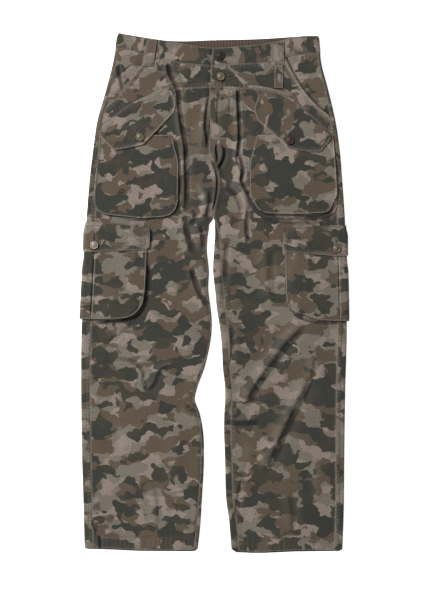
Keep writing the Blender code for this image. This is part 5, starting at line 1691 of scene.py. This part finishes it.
# %% Outlines of pockets and flaps
HIP_FLAP = {
    RIGHT: ((-90, 412, 4), (-76, 380, 22), (-81, 360, 10), (-142, 295, 16), (-201, 283, 18),
            (-230, 312, 18), (-231, 329, 3), (-197, 355, 40), (-130, 395, 60)),
    LEFT: ((91, 405, 4), (79, 365, 24), (86, 345, 16), (146, 289, 16), (184, 281, 20),
           (212, 281, 8), (238, 313, 4), (201, 346, 40), (171, 371, 60), (144, 390, 30)),
}
HIP_POCKET = {
    RIGHT: ((-85, 316, 8), (-71, 262, 60), (-72, 151, 58), (-150, 147, 90), (-243, 157, 34),
            (-240, 222, 90), (-232, 285, 60), (-231, 316, 4)),
    LEFT: ((84, 316, 8), (70, 262, 60), (69, 149, 62), (160, 146, 90), (246, 150, 36),
           (246, 215, 60), (240, 300, 60), (237, 316, 4)),
}
HIP_MOUTH, HIP_HEIGHT = 3.0, 4.8
GUSSET = 9.0        # how far the bellows show below the left hip pocket
FACE_EDGE = 1.9     # from the sewn border to the pressed edge of the pocket's face
CREST = 0.6         # how far the pressed edge stands up
PLEAT_DEPTH = 2.4
BULGE = {RIGHT: 3.2, LEFT: 1.2}         # how far the lower end of a cargo pocket stands off
STAND_OFF = {RIGHT: 1.3, LEFT: 0.7}     # how far the free edge of a hip flap curls up


def cargo_middle(side):
    """Pattern place of a cargo pocket's middle pleat."""
    radius = LEG_SIDE / 2
    return -(math.pi * radius + CARGO[side].middle - radius)


def cargo_outlines(side):
    """Outlines of a cargo pocket and its flap."""
    cargo, middle = CARGO[side], cargo_middle(side)
    low, high = middle - cargo.half_width, middle + cargo.half_width
    pocket = rounded(((low, cargo.mouth_y, 4), (low, cargo.bottom_y, cargo.corner),
                      (high, cargo.bottom_y, cargo.corner), (high, cargo.mouth_y, 4)))
    low, high = middle - cargo.flap_half, middle + cargo.flap_half
    flap = rounded(((low, cargo.flap_end_top, 3), (low, cargo.flap_end_bottom, 12),
                    (middle, cargo.flap_bottom, 60), (high, cargo.flap_end_bottom, 12),
                    (high, cargo.flap_end_top, 3), (middle, cargo.flap_top, 60)))
    return pocket, flap


print("bellows", GUSSET, "mm wide")

# %% Hip pockets
def bellows(edge, height):
    """Height of a patch pocket: sewn down at its border, then up to a pressed edge, then level."""
    low = SEAT + POCKET_CLOTH
    return low + (height - low) * ease(edge / FACE_EDGE) + CREST * bell((edge - FACE_EDGE) / 1.1)


def pressed_edge(edge):
    """How pale a pocket's pressed edge is rubbed, and the painted shadow on the wall outside it.
    """
    return 0.75 * bell((edge - (FACE_EDGE + 0.4)) / 0.9), 0.85 * bell((edge - 0.2) / 1.1)


def edge_of(outline):
    """A function that gives the distance to an outline."""
    fine = resampled(ring(outline), EDGE_STEP)
    return lambda a, y: distance_to(fine, paired(a, y))


def hip_pocket(side):
    """Rounded patch pocket on the front of the hip. Below the left one its bellows show."""
    outline = on_front(side, rounded(HIP_POCKET[side]))
    border = edge_of(outline)

    def edge(a, y):
        show = GUSSET * ease((196 - y) / 24) * ease((plan_x(side, a, y) - 62) / 14)
        return border(a, y) - (show if side is LEFT else 0)

    def lay(a, y):
        full = HIP_MOUTH + (HIP_HEIGHT - HIP_MOUTH) * ease((290 - y) / 36)
        return laid(side, a, y, bellows(edge(a, y), full), POCKET_CLOTH)

    rings = rows_beside(outline, None, (1.5, 2.6, 3.6, 5))
    if side is LEFT:
        rings += rows_beside(outline, None, (8.2, 9.4, 10.4, 11.4, 12.6, 14))
    # The pocket's pressed edge is rubbed pale, with a painted shadow on the bellows wall outside
    # it
    shell(f"hip_pocket_{side.name}", outline, rings, DENSE, lay, worn=0.0,
          turn=-5 if side is LEFT else 0, rests_on=[f"front_{side.name}"],
          rows=rows_beside(outline, None, (4.2,)) if side is RIGHT else [],
          pressed=lambda a, y: pressed_edge(edge(a, y)))


print("a hip pocket's face is", HIP_HEIGHT, "mm up")


# %% Hip flaps
def hip_flap(side):
    """Pointed flap over the hip pocket."""
    outline = on_front(side, rounded(HIP_FLAP[side]))
    seam = resampled(on_front(side, drawn(YOKE_SEAM[side])), 0.8)
    free = outline[distance_to(seam, outline) > 5]
    widest = int(np.argmax(np.hypot(*(np.roll(free, -1, axis=0) - free).T)))
    free = resampled(np.roll(free, -widest - 1, axis=0), EDGE_STEP)

    def lay(a, y):
        places = paired(a, y)
        curl = STAND_OFF[side] * (1 - ease(distance_to(free, places) / 9))
        curl *= ease((350 - y) / 40)
        height = FLAP_SEAT + (FLAP_OVER - FLAP_SEAT) * ease((345 - y) / 28) + curl
        caught = 0.25 + 0.75 * ease(distance_to(seam, places) / 7)
        return laid(side, a, y, height * caught, FLAP_CLOTH * caught)

    shell(f"hip_flap_{side.name}", outline, [], DENSE, lay, turn=-35 * side.sign,
          rests_on=[f"front_{side.name}", f"hip_pocket_{side.name}"],
          rows=rows_beside(outline, free, (5.0,)), tucked=seam,
          border=0.5 if side is RIGHT else 0.3)


print("a flap's face lies", FLAP_OVER - HIP_MOUTH, "mm above the pocket's mouth")


# %% Cargo pockets
def back_share(a):
    """0 on the front and the outer half of the side fold, rising to 1 at the back."""
    return ease(2 * a / (math.pi * LEG_SIDE / 2) + 1)


def cargo_height(side, a, y, edge):
    """Height of a cargo pocket above the leg."""
    cargo = CARGO[side]
    full = CARGO_MOUTH + (CARGO_HEIGHT - CARGO_MOUTH) * ease((cargo.flap_bottom - 6 - y) / 28)
    inward = cargo_middle(side) - a
    full = full + BULGE[side] * ease((30 - y) / 50) * ease((inward - 4) / 30)
    full = full + (CARGO_BACK - full) * back_share(a)
    across = -side.sign * inward
    pleat = PLEAT_DEPTH * ease((across + 0.7) / 0.9) * (1 - ease((across - 0.2) / 3.2))
    height = bellows(np.maximum(edge, 0), full) - pleat * ease(edge / 12)
    return np.maximum(height, SEAT + POCKET_CLOTH)


def cargo_pocket(side):
    """Bellows pocket that wraps the side of the leg."""
    outline, _ = cargo_outlines(side)
    border = edge_of(outline)

    def edge(a, y):
        slack = 9 * np.exp(-(((plan_x(side, a, y) - 178) / 28) ** 2 + ((y + 47) / 17) ** 2))
        return border(a, y) - (slack if side is LEFT else 0)

    lines = turning_lines(side, -50, 110, 3.0)
    lines += rows_beside(outline, None, (1.5, 2.6, 3.6, 5, 7, 9))
    pleat_y = np.arange(-50, 110, 2.4)
    lines += [paired(cargo_middle(side) + side.sign * place + 0 * pleat_y, pleat_y)
              for place in (-2.4, -0.8, -0.3, 0.2, 1.0, 2.0, 3.4)]

    # Pressed edge rubbed pale with a painted shadow outside it; along the pleat a painted
    # highlight on its lit flank and painted shade in its fold
    def pressed(a, y):
        light, dark = pressed_edge(edge(a, y))
        across = (a - cargo_middle(side)) * side.sign
        within = ease(edge(a, y) / 10)
        return (np.maximum(light, 0.55 * within * bell((across - 2.6) / 0.9)),
                np.maximum(dark, 0.9 * within * bell((across - 0.1) / 0.8)))

    shell(f"cargo_pocket_{side.name}", outline, lines, DENSE,
          lambda a, y: laid(side, a, y, cargo_height(side, a, y, edge(a, y)), POCKET_CLOTH),
          worn=0.0, rests_on=[f"front_{side.name}", f"back_{side.name}"],
          rows=rows_beside(outline, None, (4.2,)), pressed=pressed)


print("pleats", PLEAT_DEPTH, "mm deep down the middle of the cargo pockets")


# %% Cargo flaps
def cargo_flap_height(side, a, y):
    """A cargo flap is seated at its top seam and passes over the pocket's mouth."""
    ahead = FLAP_SEAT + (FLAP_OVER - FLAP_SEAT) * ease((CARGO[side].flap_top - 3 - y) / 20)
    return ahead + (FLAP_BACK - ahead) * back_share(a)


def cargo_flap(side):
    """Shallow pointed flap of a cargo pocket."""
    _, outline = cargo_outlines(side)
    shell(f"cargo_flap_{side.name}", outline, turning_lines(side, 78, 136, 3.0), DENSE,
          lambda a, y: laid(side, a, y, cargo_flap_height(side, a, y), FLAP_CLOTH),
          turn=4, rests_on=[f"cargo_pocket_{side.name}"], border=0.3,
          rows=rows_beside(outline, None, (2.2, 8.0)),
          tucked=paired(outline[:, 0], 0 * outline[:, 0] + CARGO[side].flap_end_top))


for side in SIDES:
    hip_pocket(side)
    hip_flap(side)
    cargo_pocket(side)
    cargo_flap(side)

# %% [markdown]
# ## Belt loops
#
# A belt loop is a narrow folded strip, sewn down at both ends, that bows up between them so that
# a belt can pass. The pants lie on the three at the back, which are pressed flat. A tab of the
# same strip continues the left front loop down the yoke.

# %% Belt loops and the tab
BACK_LOOPS = {
    "right": Strip(-108, 503, -108, 456, 20),
    "middle": Strip(0, 504.6, 0, 455, 20),
    "left": Strip(108, 505, 108, 457, 20),
}
LOOP_ARCH = 1.2


def strip_outline(strip):
    """The outline of a narrow strip."""
    top = np.array([strip.top_x, strip.top_y])
    bottom = np.array([strip.bottom_x, strip.bottom_y])
    half = np.array([strip.width / 2, 0])
    return closed(np.array([top - half, bottom - half, bottom + half, top + half]), 2.2)


def arch(y, strip):
    """Height of a loop's bow between its two sewn ends."""
    share = (strip.top_y - y) / (strip.top_y - strip.bottom_y)
    return LOOP_ARCH * np.clip(4 * share * (1 - share), 0, 1)


def front_strip(name, strip, on_band):
    """A narrow strip that lies on the front."""
    side = side_of(name)
    waist = waist_line(side)

    def lay(a, y):
        band = on_band * ease((y - np.interp(a, waist[:, 0], waist[:, 1]) + 6) / 6)
        height = LAYER_GAP + LOOP_CLOTH + (BAND_PROUD + arch(y, strip)) * band
        return laid(side, a, y, height, LOOP_CLOTH)

    outline = on_front(side, strip_outline(strip))
    shell(name, outline, [], 2.0, lay, turn=90, rests_on=[f"waistband_{side.name}"],
          rows=rows_beside(outline, None, (2.4,)), border=0.42, ribbed=0.06)


def back_loop(name):
    """Belt loop on the back of the waistband."""
    strip = BACK_LOOPS[name]

    def lay(x, y):
        z = (WAIST_LIFT - LOOP_CLOTH - LAYER_GAP) * (1 - arch(y, strip) / LOOP_ARCH)
        return np.stack([x, y, z], axis=-1), np.stack([x, y, z + LOOP_CLOTH], axis=-1)

    shell(f"belt_loop_back_{name}", strip_outline(strip), [], 2.5, lay, turn=90,
          rests_on=["floor"])


for side in SIDES:
    front_strip(f"belt_loop_front_{side.name}", FRONT_LOOPS[side], 1.0)
front_strip("yoke_tab_left", YOKE_TAB, 0.0)
for name in BACK_LOOPS:
    back_loop(name)

# %% [markdown]
# ## Bartacks and buttonholes
#
# Where a seam is strained, at the ends of a belt loop or a pocket opening, a machine sews a
# short bar of close stitches over it, the bartack. A buttonhole is the same stitch led round a
# slit. Both are satin stitches, threads side by side across a line, so one helper makes them.

# %% Bars and buttonholes
slits = []


def on_piece(name, line):
    """Points on a piece's outer face, and the way that it faces there."""
    outer, inner = lays[name](*on_front(side_of(name), line).T)
    return outer, unit(outer - inner)


def satin(name, line, width, pitch=0.75):
    """Close stitches across a line on a piece."""
    line = resampled(np.array(line, float), pitch)
    ends = [on_piece(name, beside(line, place)) for place in (-width / 2, width / 2)]
    up = unit(ends[0][1] + ends[1][1])
    threads.append((ends[0][0] + up * 0.1, ends[1][0] + up * 0.1, up))


def buttonhole(name, start, end, half_width=2.3):
    """An oval of close stitches round a slit, whose opening is a dark spindle of painted shadow.
    """
    start, end = np.array(start, float), np.array(end, float)
    middle, half = (start + end) / 2, (end - start) / 2
    across = np.array([-half[1], half[0]]) / np.hypot(*half) * half_width
    turn = np.linspace(0, 2 * math.pi, 49)
    rounder = np.sign(np.sin(turn)) * np.abs(np.sin(turn)) ** 0.5
    satin(name, middle + half * np.cos(turn)[:, None] + across * rounder[:, None], 1.9)
    # The slit itself is a dark spindle, a painted shadow of the opening
    outer, up = on_piece(name, np.array([middle - half * 0.75, middle + half * 0.75]))
    slits.append((outer[:1] + up[:1] * 0.15, outer[1:] + up[1:] * 0.15, up[:1]))


for fastener in BUTTONS.values():
    buttonhole(fastener.piece, fastener.hole_start, fastener.hole_end)
for name, line in (
        ("front_left", ((-6.5, 309), (-6.5, 300))),
        ("yoke_left", ((4, 411), (14, 422))),
        ("yoke_left", ((227, 349), (234, 356))),
        ("yoke_right", ((-218, 358), (-224, 366))),
        ("yoke_right", ((-146, 446), (-137, 450))),
        ("belt_loop_front_right", ((-139, 456), (-125, 457))),
        ("belt_loop_front_right", ((-132, 503), (-117, 503))),
        ("belt_loop_front_left", ((121, 456), (136, 456))),
        ("belt_loop_front_left", ((121, 498), (136, 498))),
        ("yoke_tab_left", ((121, 412), (135.5, 412))),
        ("yoke_tab_left", ((121, 449), (135.5, 449))),
        ("hip_pocket_right", ((-88, 311), (-80, 306))),
        ("cargo_flap_right", ((-138, 128), (-134, 120))),
        ("cargo_flap_left", ((143, 126), (147, 118)))):
    satin(name, line, 2.2)
print("buttonholes", len(slits))

# %% Join the threads
def thread_mesh(name, bundles, material=COTTON, width=THREAD_WIDTH, rise=THREAD_RISE):
    """One mesh of many stitches."""
    points, faces = spindles(*[np.vstack(part) for part in zip(*bundles)], width, rise)
    mesh = bpy.data.meshes.new(name)
    mesh.from_pydata(((points + SHIFT) * MM).tolist(), [], faces)
    mesh.materials.append(material)
    mesh.shade_smooth()
    part_piece(name, mesh)
    print(f"{name}: {sum(len(bundle[0]) for bundle in bundles)} stitches")


for side in SIDES:
    thread_mesh(f"stitches_{side.name}", [
        bundle for bundle in threads if (bundle[0][:, 0].mean() >= 0) == (side is LEFT)])
thread_mesh("slits", slits, SLIT_SHADOW, 0.8, 0.4)

# %% [markdown]
# ## Buttons
#
# Six metal buttons, in four tones of bronze from dark to pale, with a rolled rim, a sunk ring and
# a low dome. A turned shape is easiest as a profile spun round an axis, so the profile is a short
# table of radius and height. The material finds rims and hollows by how pointed the mesh is
# there, and makes the rims bright and the hollows dark.

# %% Bronze
def bronze(name, face, rim, hollow, stain):
    """Antiqued metal: dark in its hollows and rubbed bright on its rims."""
    w = Wires(name)
    where = w.node("ShaderNodeTexCoord").outputs["Object"]
    edges = w.node("ShaderNodeNewGeometry").outputs["Pointiness"]
    tarnish = w.noise(where, 500, 3.0, 0.6)
    colour = w.mix(w.step(edges, 0.5, 0.58), face, rim)
    colour = w.mix(w.step(edges, 0.49, 0.42), colour, hollow)
    colour = w.mix(w.times(w.step(tarnish, 0.45, 0.7), stain), colour, hollow)
    w.look(Base_Color=colour, Normal=w.bump(tarnish, 0.2, 0.0002), Metallic=0.6,
           Roughness=w.plus(w.times(tarnish, 0.25), 0.42))
    return w.material


BRONZE = {
    tone: bronze(f"{tone} bronze", linear(*face), linear(*rim), linear(*hollow), stain)
    for tone, face, rim, hollow, stain in (
        ("dark", (56, 46, 38), (92, 78, 64), (26, 22, 19), 0.5),
        ("brown", (78, 64, 52), (108, 92, 76), (36, 30, 26), 0.5),
        ("olive", (122, 110, 94), (146, 134, 116), (80, 70, 58), 0.2),
        ("pale", (156, 145, 132), (190, 180, 166), (112, 102, 91), 0.12))}
print("tones of bronze:", ", ".join(BRONZE))

# %% Turn the buttons
# Radius and height, from the underside to the top
BUTTON_PROFILE = (
    (6.3, 0.0), (7.3, 0.25), (7.9, 0.8), (8.1, 1.5), (7.95, 2.1), (7.6, 2.5), (7.1, 2.65),
    (6.6, 2.5), (6.2, 2.05), (5.6, 2.0), (5.1, 2.4), (4.5, 2.7), (3.6, 2.95), (2.4, 3.15),
    (0.9, 3.3),
)
AROUND = 40     # corners of each ring of the profile


def button(name):
    """A turned button in the place of its solid."""
    x, y, z = seat_of(name)
    turns = [2 * math.pi * k / AROUND for k in range(AROUND)]
    points = [(x + radius * MM * math.cos(turn), y + radius * MM * math.sin(turn),
               z + height * MM) for radius, height in BUTTON_PROFILE for turn in turns]
    last = (len(BUTTON_PROFILE) - 1) * AROUND
    faces = [(low + k, low + after, low + after + AROUND, low + k + AROUND)
             for low in range(0, last, AROUND)
             for k, after in ((k, (k + 1) % AROUND) for k in range(AROUND))]
    faces += [tuple(range(AROUND))[::-1], tuple(range(last, last + AROUND))]
    mesh = bpy.data.meshes.new(name)
    mesh.from_pydata(points, [], faces)
    mesh.materials.append(BRONZE[BUTTONS[name].tone])
    mesh.shade_smooth()
    part_piece(f"turned_{name}", mesh, name)


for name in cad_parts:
    if name.startswith("button_"):
        button(name)
print("buttons turned:", sum(piece.name.startswith("turned_") for piece in pieces))

# %% [markdown]
# ## Floor, light and camera
#
# The floor is a plain pale sheet that glows a little, so that it stays white in the shadows. A
# strong light from the upper left gives the folds their shape, a weak and low one from the lower
# left picks out the twill, and a faint light from all round fills the shadows. The camera looks
# straight down through a long lens, so that both ends of the garment are seen at the same size.

# %% Floor
def plain_floor():
    """A pale matt floor."""
    w = Wires("pale floor")
    where = w.node("ShaderNodeTexCoord").outputs["Object"]
    shade = w.mix(w.noise(where, 3.0, 2.0), linear(252, 252, 252), linear(255, 255, 255))
    w.look(Base_Color=shade, Roughness=0.9, Specular_IOR_Level=0.1, Emission_Color=WHITE,
           Emission_Strength=0.85)
    return w.material


FLOOR_REACH, FLOOR_TOP = 6.0, -0.0005
mesh = bpy.data.meshes.new("floor")
mesh.from_pydata([(x * FLOOR_REACH, y * FLOOR_REACH, FLOOR_TOP)
                  for x, y in ((-1, -1), (1, -1), (1, 1), (-1, 1))], [], [(0, 1, 2, 3)])
mesh.materials.append(plain_floor())
floor = placed("floor", mesh)
print("floor", 2 * FLOOR_REACH, "m wide")

# %% Lights
for name, place, size, power in (("window", (-2.5, 2.3, 3.0), 0.7, 180.0),
                                 ("side_panel", (-1.5, -1.3, 1.1), 0.8, 13.0)):
    data = bpy.data.lights.new(name, "AREA")
    data.energy, data.size = power, size
    lamp = placed(name, data)
    lamp.location = place
    lamp.rotation_euler = Vector(place).to_track_quat("Z", "Y").to_euler()
    print(f"{name}: {power:.0f} W, {size} m wide")
world = bpy.context.scene.world or bpy.data.worlds.new("studio")
bpy.context.scene.world = world
world.use_nodes = True
background = world.node_tree.nodes["Background"]
background.inputs["Color"].default_value = WHITE
background.inputs["Strength"].default_value = 0.2
bpy.context.scene.view_settings.view_transform = "Standard"

# %% Camera
PIXEL = 2.0 * MM            # what one pixel of the render shows
WIDE, TALL = 422, 591       # its size in pixels
ORIGIN = (214.5, 292.5)     # and the pixel that shows the origin
DISTANCE, SENSOR = 4.0, 36.0
SCALE_HEIGHT = 6.0 * MM     # the scale is exact this high above the floor
data = bpy.data.cameras.new("camera")
data.sensor_fit = "HORIZONTAL"
data.sensor_width = SENSOR
data.lens = SENSOR * DISTANCE / (WIDE * PIXEL)
camera = placed("camera", data)
camera.location = ((WIDE / 2 - ORIGIN[0]) * PIXEL, (ORIGIN[1] - TALL / 2) * PIXEL,
                   DISTANCE + SCALE_HEIGHT)
bpy.context.scene.camera = camera
print("lens", round(data.lens, 1), "mm at", DISTANCE, "m")

# %% [markdown]
# ## Hand over
#
# The last cell counts the pieces and their triangles.

# %% Finish
bpy.context.view_layer.update()
triangles = sum(sum(len(face.vertices) - 2 for face in piece.data.polygons) for piece in pieces)
print("pieces:", len(pieces), "triangles:", triangles)
